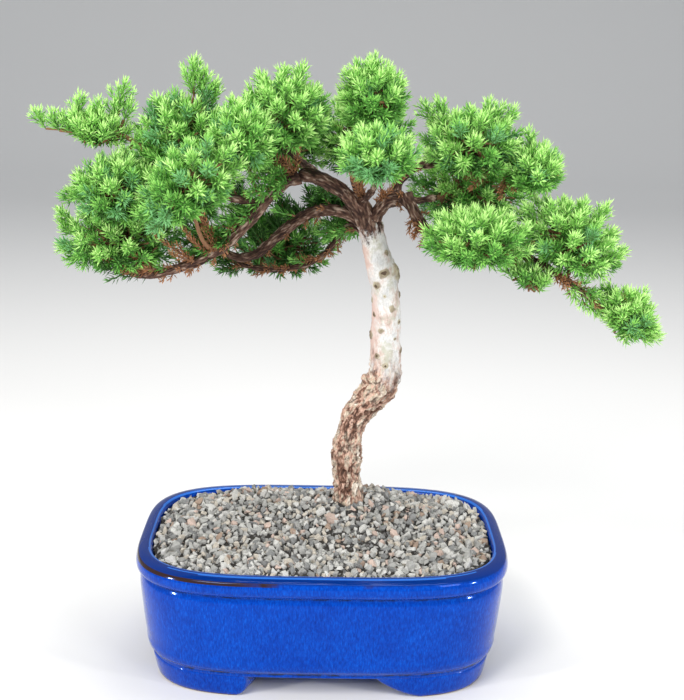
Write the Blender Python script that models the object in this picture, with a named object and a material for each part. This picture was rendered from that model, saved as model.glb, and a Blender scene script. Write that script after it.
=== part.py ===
"""Juniper bonsai in its glazed pot: pot, gravel, trunk, boughs and foliage masses as closed solids.

Lengths in the tables below are millimetres, laid out round the middle of the pot with +X to the
right, +Y to the back and +Z up. They become metres where a mesh is made.
"""

import math
import random

import bmesh
import bpy
from mathutils import Matrix, Vector

MM = 0.001
SEED = 41
CLEARANCE = 0.3  # between every two separate solids that would touch
PLANT_SHIFT = (-14.9, -8.9, 0.0)  # from the middle of the pot to the middle of the whole outline

# Pot, an oval rectangle in plan. Each profile step is half length, half width, height.
PLAN_POWER = 3.75
POT_SEGMENTS = 36
POT_PROFILE = {
    "underside": (91.0, 61.8, 12.0),
    "ledge": (93.0, 63.8, 13.2),
    "lower_groove": (93.4, 64.0, 14.8),
    "belt_bottom": (95.6, 66.2, 17.0),
    "belt": (96.6, 67.2, 21.0),
    "body_low": (97.0, 67.8, 30.0),
    "body_middle": (97.4, 68.5, 42.0),
    "body_high": (97.6, 69.0, 55.0),
    "upper_groove": (97.0, 68.6, 60.0),
    "rim_bottom": (99.0, 70.6, 61.8),
    "rim_roll": (101.2, 72.8, 64.6),
    "rim_side": (101.5, 73.0, 67.4),
    "rim_shoulder": (100.6, 72.1, 69.6),
    "rim_top": (97.2, 67.6, 71.0),
    "rim_inner": (94.2, 64.0, 70.6),
    "lip_inside": (93.0, 62.8, 68.6),
    "wall_inside": (91.0, 61.0, 30.0),
    "floor_corner": (88.0, 58.0, 20.5),
    "floor": (84.0, 54.0, 19.5),
}
FOOT_TOP = (92.2, 63.0, 13.6)
FOOT_BOTTOM = (88.5, 59.5, 0.0)
FOOT_THICKNESS = 12.0
FOOT_GAP_FRONT = 36.0  # half of the opening between the feet, along the front
FOOT_GAP_SIDE = 22.0
FOOT_FLARE = 9.0  # how much wider each opening is at the ground
FOOT_OFFSET = -2.0  # of the middle of the front opening, to the left

# Gravel bed filling the pot, mounded towards the trunk.
GRAVEL_SEGMENTS = 32
GRAVEL_RINGS = 8
GRAVEL_EDGE = (92.4, 62.2, 68.6)
GRAVEL_BOTTOM = 21.2
MOUND_HEIGHT = 10.5
MOUND_CENTRE = (8.0, 22.0)
MOUND_SPREAD = (78.0, 44.0)
GRAVEL_LUMP = 1.9  # up or down, the coarse unevenness of the heap

# Trunk: x, y, z and radius along its line, flared at the ground and leaning to the left.
TRUNK_LINE = (
    (14, 28, 76.5, 9.4),
    (14, 28, 83, 8.3),
    (13, 28, 95, 7.6),
    (13, 28, 107, 8.4),
    (15, 27, 120, 7.6),
    (19, 26, 131, 7.8),
    (26, 24.5, 141, 9.0),
    (32, 23.5, 150, 9.4),
    (33.5, 22, 163, 8.7),
    (33, 21, 176, 8.3),
    (33, 19, 190, 8.0),
    (32, 17.5, 204, 7.5),
    (29, 15.5, 217, 7.6),
    (25.5, 13.5, 230, 6.8),
    (22.5, 12.2, 241, 6.4),
    (21, 12, 249, 5.6),
)
TRUNK_STUB = ((25, 24, 146), (15.5, 22, 153), 3.4, 1.5)  # from, to and its two radii
TRUNK_KNOB = ((33, 15, 211), (6.4, 4.8, 5.0))

# Boughs: parent, number of sides' rings, then x, y, z and radius along the line.
BOUGHS = {
    "bough_upper_left_rise": (
        (20, 12, 243, 3.6), (15, 10, 251, 4.0), (9, 7, 258, 3.9), (2, 3.5, 263.5, 3.8),
        (-7, 0, 268, 3.8), (-16, -3, 269.5, 3.9),
    ),
    "bough_upper_left_fall": (
        (-16.5, -3.2, 269.3, 3.9), (-23, -4.6, 265.8, 3.6), (-32, -6.5, 257, 3.4), (-41, -8.5, 246, 3.1),
        (-52, -10, 234, 2.9), (-64, -10.5, 226, 2.7), (-78, -9, 220, 2.5), (-92, -6.5, 215.5, 2.2),
        (-102, -4.5, 215, 1.9),
    ),
    "bough_middle_left": (
        (22, 13, 239, 3.0), (12, 14, 246.5, 3.4), (2, 15, 248.5, 3.3), (-8, 17.5, 247, 3.1),
        (-18, 20, 241, 3.0), (-28, 23, 232, 2.8), (-38, 26, 222.5, 2.6), (-50, 30, 219, 2.3),
        (-62, 36, 224, 2.0), (-71, 41, 233, 1.8),
    ),
    "bough_lower_left": (
        (24, 15, 234, 1.9), (13, 20, 239.5, 1.9), (6.5, 25.5, 233.5, 1.8), (0, 30.5, 223.5, 1.7),
        (-9, 34, 216.3, 1.7), (-20, 36.5, 212.5, 1.6), (-32, 38.5, 210.8, 1.5), (-44, 40.5, 211.8, 1.4),
        (-53, 42, 214, 1.3),
    ),
    "bough_leader": (
        (21, 12, 247, 3.0), (17.5, 10, 256, 2.8), (14.5, 8, 264, 2.6), (13, 6.5, 272, 2.3),
        (14.5, 5.5, 281, 2.0),
    ),
    "bough_right_elbow": (
        (23, 12, 242, 3.2), (28, 9.5, 251, 3.6), (33.5, 6.5, 257, 3.5), (40, 3, 258.6, 3.4),
    ),
    "bough_cascade": (
        (40.4, 2.8, 258.4, 3.3), (45, -1.5, 251, 3.0), (51.5, -5, 242, 2.8), (62, -8, 237.3, 2.6),
        (76, -10.5, 235, 2.4), (92, -12.5, 232, 2.2), (106, -13.5, 229, 2.0), (120, -14.2, 221.5, 1.8),
        (134, -15, 212, 1.6), (143, -15, 205, 1.4),
    ),
    "bough_right_upper": (
        (35, 5.8, 257.5, 2.2), (39, 9, 267, 2.2), (49, 12, 273.5, 2.1), (63, 12, 275, 1.9),
        (78, 9, 273.5, 1.7), (92, 5, 274, 1.5),
    ),
    "bough_left_shelf": (
        (-34, -7, 254.5, 2.0), (-43, -11, 256, 2.1), (-55, -14.5, 259, 2.0), (-69, -16.5, 263.5, 1.9),
        (-82, -16, 271, 1.7), (-93, -14.5, 281, 1.5),
    ),
    "bough_crown_left": (
        (-20, -4, 267.5, 1.8), (-24.5, -4.8, 275.5, 1.7), (-26, -5.5, 284, 1.5),
    ),
    "bough_front": (
        (18, 10.5, 255, 1.9), (20.5, 1, 258, 1.9), (23, -9, 263.5, 1.7), (24, -18, 269, 1.5),
    ),
    "bough_back": (
        (16, 9, 260, 2.1), (15.5, 19, 264.5, 2.1), (16.5, 31, 270, 2.0), (18, 43, 277, 1.7),
    ),
    "bough_back_left": (
        (-4, 1.5, 266.5, 2.1), (-9.5, 13, 270.5, 2.0), (-16.5, 25, 274, 1.9), (-23, 37, 278.5, 1.6),
    ),
    "bough_back_right": (
        (29, 9.5, 252.5, 2.4), (37, 21, 252.5, 2.3), (48, 33, 252, 2.1), (60, 43, 252.5, 1.8),
    ),
}
BOUGH_RINGS = 9
FULLNESS = 1.08  # how far the spaces swell past the named radii
TRUNK_RINGS = 28
RING_SIDES = {"trunk": 12, "bough": 8}


class Mass:
    """One foliage mass: the space it may fill, the limb it springs from and its leading tips."""

    def __init__(self, centre, radii, limb, along, tips=(), tilt=0.0, shoots=14, core=0.62):
        self.centre = Vector(centre)
        self.radii = Vector(radii) * FULLNESS
        self.limb = limb
        self.along = along
        self.tips = [Vector(tip) for tip in tips]
        self.turn = Matrix.Rotation(math.radians(tilt), 3, "Y")
        self.shoots = shoots
        self.core = core

    def local(self, point):
        """The point in units of the mass's own radii."""
        away = self.turn.transposed() @ (point - self.centre)
        return Vector(a / r for a, r in zip(away, self.radii))

    def level(self, point):
        """0 at the centre of the space, 1 at its surface."""
        return self.local(point).length_squared

    def slope(self, point):
        """How fast and which way the level rises at a point."""
        scaled = Vector(2 * a / r for a, r in zip(self.local(point), self.radii))
        return self.turn @ scaled

    def surface(self, direction):
        """Point where a direction from the centre leaves the space."""
        away = self.turn.transposed() @ direction.normalized()
        reach = Vector(a / r for a, r in zip(away, self.radii)).length
        return self.centre + direction.normalized() / reach


MASSES = {
    "foliage_far_left": Mass((-120, -12, 294), (31, 16, 10.5), "bough_left_shelf", 1.0,
                             [(-149, -12, 302), (-127, -12, 313), (-116, -13, 310), (-101, -12, 319),
                              (-140, -13, 303)], tilt=12, shoots=8),
    "foliage_upper_left": Mass((-74, -4, 293), (27, 30, 18), "bough_left_shelf", 0.62,
                               [(-68, -4, 332), (-56, -3, 320), (-91, -7, 312), (-79, -8, 317)], shoots=10),
    "foliage_left_shoulder": Mass((-106, -20, 263), (25, 30, 20), "bough_left_shelf", 0.84,
                                  [(-130, -14, 276), (-139, -16, 258)], shoots=12),
    "foliage_left_skirt": Mass((-109, 0, 236), (34, 32, 20), "bough_upper_left_fall", 1.0,
                               [(-145, -4, 243), (-143, -4, 228)], shoots=12),
    "foliage_left_front": Mass((-68, -45, 270), (34, 27, 19), "bough_upper_left_fall", 0.5,
                               tilt=-40, shoots=12),
    "foliage_left_crest": Mass((-43, -30, 291), (19, 24, 19), "bough_upper_left_fall", 0.15,
                               [(-40, -16, 320)], shoots=10),
    "foliage_left_back": Mass((-88, 48, 258), (40, 32, 30), "bough_middle_left", 1.0, shoots=12),
    "foliage_crown_left": Mass((-24, -5, 301), (25, 32, 22), "bough_crown_left", 1.0,
                               [(-28, -6, 328), (-12, -6, 331)], shoots=12),
    "foliage_inner_left": Mass((-28, 62, 223), (35, 26, 22), "bough_lower_left", 0.8, shoots=10),
    "foliage_crown_left_back": Mass((-31, 58, 284), (35, 30, 25), "bough_back_left", 1.0, shoots=11),
    "foliage_crown_top": Mass((22, 2, 310), (20, 30, 20), "bough_leader", 1.0,
                              [(23, 2, 335), (10, 0, 331), (35, 0, 326), (42, 2, 319)], shoots=9),
    "foliage_crown_front": Mass((24, -36, 285), (22, 24, 16), "bough_front", 1.0, shoots=10),
    "foliage_crown_back": Mass((18, 62, 286), (32, 28, 26), "bough_back", 1.0, shoots=11),
    "foliage_right_upper": Mass((74, 2, 288), (28, 33, 20), "bough_right_upper", 0.66,
                                [(53, 4, 314), (83, 2, 315), (98, 2, 310)], shoots=11),
    "foliage_right_shoulder": Mass((106, -4, 276), (17, 27, 15), "bough_right_upper", 1.0,
                                   [(112, -4, 293), (125, -4, 279)], shoots=9),
    "foliage_right_skirt": Mass((75, -30, 243), (30, 28, 17), "bough_cascade", 0.34, shoots=12),
    "foliage_right_outer": Mass((125, -12, 241), (32, 31, 20), "bough_cascade", 0.8,
                                [(147, -12, 263), (153, -12, 247), (162, -12, 231)], tilt=28, shoots=11),
    "foliage_right_under": Mass((106, -15, 219.5), (20, 21, 11), "bough_cascade", 0.6, tilt=14, shoots=9),
    "foliage_right_tip": Mass((159, -15, 203), (22, 19, 13.5), "bough_cascade", 1.0,
                              [(181, -15, 190), (179, -15, 203), (169, -15, 218), (154, -15, 184)], tilt=35,
                              shoots=8),
    "foliage_right_back": Mass((81, 58, 258), (40, 30, 28), "bough_back_right", 1.0, shoots=12),
}
STEM_RADIUS = 1.4
TWIG_RADIUS = 0.9
CORE_SUBDIVISIONS = 1
SHOOT_WIDTH = 9.5  # from the shoot's line to its needle points
SHOOT_CORE = 2.6
SHOOT_MOST = 30.0
WHORLS = 3
NEEDLE_LEAN = 4.0
LIFT = 5.0  # how far below the middle of its mass a shoot takes its direction
LOWEST = -0.8  # no shoot points further down than this
OVERREACH = 1.16  # level a needle may reach outside its own space where nothing stands beside it
LEADER_SPARE = 1.0  # kept between the leading shoots of two masses
SPACE_MARGIN = 0.7  # kept to the border of the next mass's space

MATERIALS = {
    "glaze": ((0.01, 0.06, 0.52, 1.0), 0.12),
    "gravel": ((0.32, 0.31, 0.29, 1.0), 0.9),
    "bark": ((0.36, 0.25, 0.19, 1.0), 0.85),
    "foliage": ((0.10, 0.30, 0.08, 1.0), 0.6),
}


def clear_scene():
    """Empties the file and makes the two collections."""
    for obj in list(bpy.data.objects):
        bpy.data.objects.remove(obj, do_unlink=True)
    for name in ("juniper_bonsai", "guides"):
        bpy.context.scene.collection.children.link(bpy.data.collections.new(name))


def make_materials():
    """One Principled material for each kind of stuff."""
    for name, (colour, roughness) in MATERIALS.items():
        material = bpy.data.materials.new(name)
        material.use_nodes = True
        shader = material.node_tree.nodes["Principled BSDF"]
        shader.inputs["Base Color"].default_value = colour
        shader.inputs["Roughness"].default_value = roughness
        material.diffuse_color = colour


def add_mesh(name, bm, material, collection="juniper_bonsai"):
    """Turns a bmesh in millimetres into an object in metres."""
    bmesh.ops.scale(bm, vec=(MM, MM, MM), verts=bm.verts)
    bmesh.ops.recalc_face_normals(bm, faces=bm.faces)
    mesh = bpy.data.meshes.new(name)
    bm.to_mesh(mesh)
    bm.free()
    mesh.materials.append(bpy.data.materials[material])
    mesh.shade_smooth()
    obj = bpy.data.objects.new(name, mesh)
    bpy.data.collections[collection].objects.link(obj)
    return obj


def apply_modifiers(obj):
    """Replaces an object's mesh by what its modifiers make of it."""
    graph = bpy.context.evaluated_depsgraph_get()
    made = bpy.data.meshes.new_from_object(obj.evaluated_get(graph))
    old = obj.data
    obj.modifiers.clear()
    obj.data = made
    bpy.data.meshes.remove(old)
    made.name = obj.name


def discard(obj):
    """Removes an object together with its mesh."""
    mesh = obj.data
    bpy.data.objects.remove(obj, do_unlink=True)
    bpy.data.meshes.remove(mesh)


def boolean(obj, operation, cutters, solver="EXACT"):
    """One Boolean by a collection of cutters, applied, with the cutters removed after it."""
    tools = bpy.data.collections.new("tools")
    bpy.context.scene.collection.children.link(tools)
    for cutter in cutters:
        for home in list(cutter.users_collection):
            home.objects.unlink(cutter)
        tools.objects.link(cutter)
    modifier = obj.modifiers.new(operation.lower(), "BOOLEAN")
    modifier.operation = operation
    modifier.operand_type = "COLLECTION"
    modifier.collection = tools
    modifier.solver = solver
    bpy.context.view_layer.update()
    apply_modifiers(obj)
    for cutter in list(cutters):
        discard(cutter)
    bpy.data.collections.remove(tools)


def keep_largest(obj):
    """Drops loose scraps and sealed hollows."""
    bm = bmesh.new()
    bm.from_mesh(obj.data)
    left = set(bm.faces)
    shells = []
    while left:
        shell = [left.pop()]
        for face in shell:
            for edge in face.edges:
                beside = edge.link_faces if len(edge.link_faces) == 2 else ()
                for other in beside:
                    if other in left:
                        left.remove(other)
                        shell.append(other)
        shells.append(shell)
    shells.sort(key=len)
    loose = [face for shell in shells[:-1] for face in shell]
    bmesh.ops.delete(bm, geom=loose, context="FACES")
    bmesh.ops.triangulate(bm, faces=bm.faces)
    bm.to_mesh(obj.data)
    bm.free()
    obj.data.shade_smooth()


def oval(half_length, half_width, turn):
    """Point of the pot's plan at an angle."""
    c, s = math.cos(turn), math.sin(turn)
    x = math.copysign(abs(c) ** (2 / PLAN_POWER), c) * half_length
    y = math.copysign(abs(s) ** (2 / PLAN_POWER), s) * half_width
    return x, y


def loft(rings, segments, closed=False, height=None):
    """Skins a stack of oval rings, capped at both ends unless the last joins the first."""
    bm = bmesh.new()
    verts = bmesh.ops.create_circle(bm, segments=segments, radius=1)["verts"]
    verts.sort(key=lambda v: math.atan2(v.co.y, v.co.x) % math.tau)
    turns = [math.tau * k / segments for k in range(segments)]
    edges = list(bm.edges)
    first = list(edges)
    bottom = list(verts)
    for n, (half_length, half_width, z) in enumerate(rings):
        if n:
            grown = bmesh.ops.extrude_edge_only(bm, edges=edges)["geom"]
            verts = [v for v in grown if isinstance(v, bmesh.types.BMVert)]
            verts.sort(key=lambda v: math.atan2(v.co.y / rings[n - 1][1], v.co.x / rings[n - 1][0]) % math.tau)
            edges = [e for e in grown if isinstance(e, bmesh.types.BMEdge)]
            edges = [e for e in edges if all(v in set(verts) for v in e.verts)]
        for vert, turn in zip(verts, turns):
            x, y = oval(half_length, half_width, turn)
            vert.co = (x, y, z if height is None else height(n, x, y, z))
    if closed:
        bmesh.ops.bridge_loops(bm, edges=first + edges)
    else:
        for loop in (bottom, verts):
            bmesh.ops.contextual_create(bm, geom=loop)
    return bm


def build_pot():
    """Pot body turned from its profile, with four bracket feet fused under it."""
    body = add_mesh("pot", loft(list(POT_PROFILE.values()), POT_SEGMENTS), "glaze")
    top, bottom = FOOT_TOP, FOOT_BOTTOM
    inner_top = (top[0] - FOOT_THICKNESS, top[1] - FOOT_THICKNESS, top[2])
    inner_bottom = (bottom[0] - FOOT_THICKNESS, bottom[1] - FOOT_THICKNESS, bottom[2])
    middle = ((top[0] + bottom[0]) / 2 + 0.9, (top[1] + bottom[1]) / 2 + 0.9, top[2] / 2)
    ring = [inner_top, top, middle, bottom, inner_bottom]
    feet = add_mesh("feet", loft(ring, POT_SEGMENTS, closed=True), "glaze")
    cutters = [
        opening("front_opening", FOOT_GAP_FRONT, "Y", FOOT_OFFSET),
        opening("side_opening", FOOT_GAP_SIDE, "X"),
    ]
    boolean(feet, "DIFFERENCE", cutters)
    boolean(body, "UNION", [feet])
    keep_largest(body)
    return body


def opening(name, half_gap, along, offset=0.0):
    """Cutter for the opening between two feet, wider at the ground and rounded above."""
    bm = bmesh.new()
    bmesh.ops.create_cube(bm, size=2)
    for vert in bm.verts:
        low = vert.co.z < 0
        vert.co.x = vert.co.x * (half_gap + (FOOT_FLARE if low else 0)) + offset
        vert.co.y *= 150
        vert.co.z = -1.0 if low else FOOT_TOP[2] + 1.0
    upper = [e for e in bm.edges if all(v.co.z > 0 for v in e.verts) and abs(e.verts[0].co.x - e.verts[1].co.x) < 1]
    bmesh.ops.bevel(bm, geom=upper, offset=3, segments=2, profile=0.5, affect="EDGES")
    if along == "X":
        bmesh.ops.rotate(bm, verts=bm.verts, matrix=Matrix.Rotation(math.pi / 2, 3, "Z"))
    return add_mesh(name, bm, "glaze", "guides")


def mound(x, y):
    """Height of the gravel above its edge."""
    away = ((x - MOUND_CENTRE[0]) / MOUND_SPREAD[0]) ** 2 + ((y - MOUND_CENTRE[1]) / MOUND_SPREAD[1]) ** 2
    return MOUND_HEIGHT * math.exp(-away * 1.1)


def build_gravel():
    """Gravel bed with a lumpy mounded top and a socket for the trunk."""
    rng = random.Random(SEED)
    length, width, edge = GRAVEL_EDGE
    rings = [(87.3, 57.3, GRAVEL_BOTTOM), (90.5, 60.5, 31.0), (length, width, edge)]
    shares = [1 - k / GRAVEL_RINGS for k in range(1, GRAVEL_RINGS)]
    rings += [(length * s, width * s, edge) for s in shares]

    def height(n, x, y, z):
        if n < 3:
            return z if n < 2 else z + rng.uniform(-0.3, 0.3)
        rise = mound(x, y) - mound(length, 0) * 0.5
        return z + max(0.0, rise) + GRAVEL_LUMP * rng.choice((-0.9, -0.3, 0.4, 1.0))

    bed = add_mesh("gravel_bed", loft(rings, GRAVEL_SEGMENTS, height=height), "gravel")
    x, y, z, radius = TRUNK_LINE[0]
    bm = bmesh.new()
    spot = Matrix.Translation((x, y, z - CLEARANCE + 20))
    bmesh.ops.create_cone(bm, cap_ends=True, segments=24, radius1=radius + CLEARANCE + 0.25,
                          radius2=radius + CLEARANCE + 0.25, depth=40, matrix=spot)
    boolean(bed, "DIFFERENCE", [add_mesh("socket", bm, "gravel", "guides")])
    keep_largest(bed)
    return bed


def spline(line, count):
    """Even steps along a smooth curve through the points of a line, each with its radius."""
    points = [Vector(p) for p in line]
    points = [2 * points[0] - points[1]] + points + [2 * points[-1] - points[-2]]
    fine = []
    for a, b, c, d in zip(points, points[1:], points[2:], points[3:]):
        for k in range(12):
            t = k / 12
            fine.append(0.5 * (2 * b + (c - a) * t + (2 * a - 5 * b + 4 * c - d) * t * t
                               + (3 * b - a - 3 * c + d) * t ** 3))
    fine.append(points[-2])
    steps = [0.0]
    for a, b in zip(fine, fine[1:]):
        steps.append(steps[-1] + (b - a).xyz.length)
    out = []
    at = 0
    for k in range(count):
        want = steps[-1] * k / (count - 1)
        while at < len(steps) - 2 and steps[at + 1] < want:
            at += 1
        share = (want - steps[at]) / (steps[at + 1] - steps[at])
        out.append(fine[at].lerp(fine[at + 1], min(1.0, share)))
    return out


def tube(name, path, sides, grow=0.0, collection="juniper_bonsai"):
    """Round limb along a path of x, y, z, radius, made fatter and longer by grow."""
    path = [p.copy() for p in path]
    if grow:
        for end, inner in ((0, 1), (-1, -2)):
            away = (path[end].xyz - path[inner].xyz).normalized() * grow
            path[end] = Vector((*(path[end].xyz + away), path[end].w))
    curve = bpy.data.curves.new(name, "CURVE")
    curve.dimensions = "3D"
    curve.bevel_depth = MM
    curve.bevel_resolution = sides // 4 - 1
    curve.use_fill_caps = True
    line = curve.splines.new("POLY")
    line.points.add(len(path) - 1)
    for point, place in zip(line.points, path):
        point.co = (*(place.xyz * MM), 1.0)
        point.radius = place.w + grow
    guide = bpy.data.objects.new(name + "_guide", curve)
    bpy.data.collections["guides"].objects.link(guide)
    bpy.context.view_layer.update()
    mesh = bpy.data.meshes.new_from_object(guide)
    bpy.data.objects.remove(guide, do_unlink=True)
    bpy.data.curves.remove(curve)
    bm = bmesh.new()
    bm.from_mesh(mesh)
    bpy.data.meshes.remove(mesh)
    bmesh.ops.scale(bm, vec=(1 / MM,) * 3, verts=bm.verts)
    bmesh.ops.remove_doubles(bm, verts=bm.verts, dist=0.01)
    return add_mesh(name, bm, "bark", collection)


def build_trunk(paths):
    """Trunk with its old stub and its knob."""
    paths["trunk"] = spline(TRUNK_LINE, TRUNK_RINGS)
    trunk = tube("trunk", paths["trunk"], RING_SIDES["trunk"])
    start, end, thick, thin = TRUNK_STUB
    path = [Vector((*start, thick)), Vector((*(Vector(start).lerp(Vector(end), 0.6)), thick)), Vector((*end, thin))]
    stub = tube("stub", path, 8, collection="guides")
    place, radii = TRUNK_KNOB
    bm = bmesh.new()
    bmesh.ops.create_icosphere(bm, subdivisions=2, radius=1)
    bmesh.ops.scale(bm, vec=radii, verts=bm.verts)
    bmesh.ops.translate(bm, vec=Vector(place), verts=bm.verts)
    knob = add_mesh("knob", bm, "bark", "guides")
    boolean(trunk, "UNION", [stub, knob])
    keep_largest(trunk)
    return trunk


def segment_distance(a, b, c, d):
    """Shortest distance between the segments a-b and c-d."""
    u, v, w = b - a, d - c, a - c
    uu, uv, vv, uw, vw = u.dot(u), u.dot(v), v.dot(v), u.dot(w), v.dot(w)
    span = uu * vv - uv * uv
    s = min(1.0, max(0.0, (uv * vw - vv * uw) / span)) if span > 1e-9 else 0.0
    t = min(1.0, max(0.0, (uv * s + vw) / vv)) if vv > 1e-9 else 0.0
    s = min(1.0, max(0.0, (uv * t - uw) / uu)) if uu > 1e-9 else 0.0
    return (a + u * s - c - v * t).length


def clear_of(a, b, radius, path, spare=0.8):
    """Whether a round rod from a to b stays clear of a limb."""
    for p, q in zip(path, path[1:]):
        if segment_distance(a, b, p.xyz, q.xyz) < radius + max(p.w, q.w) + spare:
            return False
    return True


def near(path, other, reach):
    """Whether two limbs come within reach of each other."""
    return any(not clear_of(a.xyz, b.xyz, max(a.w, b.w), other, reach) for a, b in zip(path, path[1:]))


def cutter_of(limb, paths):
    """A limb's own shape, fatter and longer by the clearance."""
    sides = RING_SIDES["trunk" if limb == "trunk" else "bough"]
    return tube(limb + "_cutter", paths[limb], sides, grow=CLEARANCE, collection="guides")


def build_boughs(paths):
    """Every bough, cut back from the limbs built before it so that each root clears its parent."""
    for name, line in BOUGHS.items():
        path = spline(line, BOUGH_RINGS)
        bough = tube(name, path, RING_SIDES["bough"])
        before = [other for other in paths if near(path, paths[other], 8)]
        if before:
            boolean(bough, "DIFFERENCE", [cutter_of(other, paths) for other in before])
        keep_largest(bough)
        paths[name] = path


def in_space(mass, points, most=1.0, leading=False):
    """Whether all points lie in the mass's own space, clear of the spaces beside it."""
    for point in points:
        own = mass.level(point)
        if own > most and not leading:
            return False
        for other in MASSES.values():
            if other is mass:
                continue
            level = other.level(point)
            if leading and level > OVERREACH + 0.1:
                continue
            steep = (other.slope(point) - mass.slope(point)).length
            if level - own < SPACE_MARGIN * steep:
                return False
    return True


def stem_path(mass, paths):
    """Line of the mass's stem, from its limb to the middle of its space."""
    path = paths[mass.limb]
    at = mass.along * (len(path) - 1)
    low = min(int(at), len(path) - 2)
    root = path[low].lerp(path[low + 1], at - low)
    ahead = (path[low + 1].xyz - path[low].xyz).normalized()
    start = root.xyz
    radius = STEM_RADIUS
    if mass.along == 1.0:
        radius = max(STEM_RADIUS, root.w * 0.9)
    bend = start + ahead * (mass.centre - start).length * 0.35
    out = []
    for k in range(5):
        t = k / 4
        place = start * (1 - t) ** 2 + bend * 2 * t * (1 - t) + mass.centre * t * t
        out.append(Vector((*place, radius * (1 - 0.3 * t))))
    return out


def core_reach(mass, direction, obstacles):
    """How far the mass's dense middle extends in a direction, as a share of its whole reach."""
    edge = mass.surface(direction)
    for share in (1.0, 0.85, 0.7, 0.55, 0.4, 0.28, 0.16):
        point = mass.centre.lerp(edge, mass.core * share)
        if not in_space(mass, [point]):
            continue
        if all(clear_of(mass.centre, point, 1.5, path, 2.0) for path in obstacles):
            return mass.core * share
    return 0.06


def core(name, mass, obstacles):
    """Lumpy dense middle of a mass, drawn in wherever a limb or another mass comes close."""
    bm = bmesh.new()
    bmesh.ops.create_icosphere(bm, subdivisions=CORE_SUBDIVISIONS, radius=1)
    for vert in bm.verts:
        direction = vert.co.normalized()
        edge = mass.surface(direction)
        vert.co = mass.centre.lerp(edge, core_reach(mass, direction, obstacles))
    return add_mesh(name, bm, "foliage", "guides")


def shoot_points(base, tip, width, roll):
    """Places of a shoot's needle points and of the hollows between them, whorl by whorl."""
    axis = (tip - base).normalized()
    side = axis.orthogonal().normalized()
    other = axis.cross(side)
    length = (tip - base).length
    whorls = []
    for n in range(WHORLS):
        share = n / (WHORLS - 1)
        along = length * (0.16 + 0.5 * share)
        full = width * (0.95 + 0.4 * share - 0.75 * share ** 2)
        ring = []
        for k in range(6):
            turn = roll + math.tau * k / 6
            out = side * math.cos(turn) + other * math.sin(turn)
            if (k + n) % 2:
                ring.append(base + axis * along + out * SHOOT_CORE * (1 - 0.5 * share))
            else:
                ring.append(base + axis * (along + NEEDLE_LEAN) + out * full)
        whorls.append(ring)
    return whorls


def shoot(name, base, tip, width, roll):
    """Slim core carrying whorls of three needles, each whorl turned half a step on the last."""
    whorls = shoot_points(base, tip, width, roll)
    bm = bmesh.new()
    bmesh.ops.create_uvsphere(bm, u_segments=6, v_segments=WHORLS + 1, radius=1)
    for vert in bm.verts:
        down = math.acos(max(-1.0, min(1.0, vert.co.z))) / math.pi
        tier = round((1 - down) * (WHORLS + 1))
        if tier == 0:
            vert.co = base
        elif tier == WHORLS + 1:
            vert.co = tip
        else:
            step = round(math.atan2(vert.co.y, vert.co.x) / (math.tau / 6)) % 6
            vert.co = whorls[tier - 1][step]
    bmesh.ops.triangulate(bm, faces=bm.faces, quad_method="SHORT_EDGE")
    return add_mesh(name, bm, "foliage", "guides")


def twig(name, start, end, radius):
    """Three-sided twig, its ends sunk into what it joins."""
    along = end - start
    bm = bmesh.new()
    place = Matrix.Translation((start + end) / 2) @ along.to_track_quat("Z", "Y").to_matrix().to_4x4()
    bmesh.ops.create_cone(bm, cap_ends=True, segments=3, radius1=radius, radius2=radius * 0.8,
                          depth=along.length, matrix=place)
    return add_mesh(name, bm, "foliage", "guides")


def spiral(count):
    """Directions spread evenly over a ball by the golden angle, from the top downwards."""
    for k in range(count):
        z = 1 - 2 * (k + 0.5) / count
        turn = k * math.pi * (3 - math.sqrt(5))
        flat = math.sqrt(1 - z * z)
        yield Vector((flat * math.cos(turn), flat * math.sin(turn), z))


def hub_of(mass, tip):
    """Point that a shoot grows away from: near the middle, or further out along a long mass."""
    away = mass.turn.transposed() @ (tip - mass.centre)
    slim = min(mass.radii)
    return mass.centre + mass.turn @ Vector(a * max(0.15, 1 - 0.85 * slim / r) for a, r in zip(away, mass.radii))


def grow(mass, obstacles, leaders, rng):
    """Shoots of one mass as (base, tip, width, roll), each drawn in until it fits."""
    found = []
    wanted = [tip - mass.centre for tip in mass.tips]
    wanted += [direction for direction in spiral(mass.shoots) if direction.z > LOWEST]
    for number, direction in enumerate(wanted):
        leading = number < len(mass.tips)
        for pull in (1.0, 0.93, 0.86, 0.78, 0.7, 0.6, 0.5):
            tip = mass.centre + direction * pull if leading else mass.centre.lerp(mass.surface(direction), pull)
            inner = hub_of(mass, tip).lerp(tip, max(0.1, mass.core - 0.18))
            hub = inner - Vector((0, 0, LIFT * rng.uniform(0.5, 1.2)))
            reach = min(SHOOT_MOST, (tip - hub).length)
            base = tip + (hub - tip).normalized() * reach
            width = SHOOT_WIDTH * rng.uniform(0.85, 1.1)
            roll = rng.uniform(0, math.tau)
            if any((tip - other[1]).length < SHOOT_WIDTH for other in found):
                continue
            if leading and any(segment_distance(base, tip, *other) < 2 * width + LEADER_SPARE for other in leaders):
                continue
            checks = [base, tip] + [p for ring in shoot_points(base, tip, width, roll) for p in ring]
            if not in_space(mass, checks, OVERREACH, leading):
                continue
            if all(clear_of(base, tip, width * 0.85, path) for path in obstacles):
                found.append((base, tip, width, roll))
                break
    leaders += [(base, tip) for base, tip, _, _ in found[:len(mass.tips)]]
    return found


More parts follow.
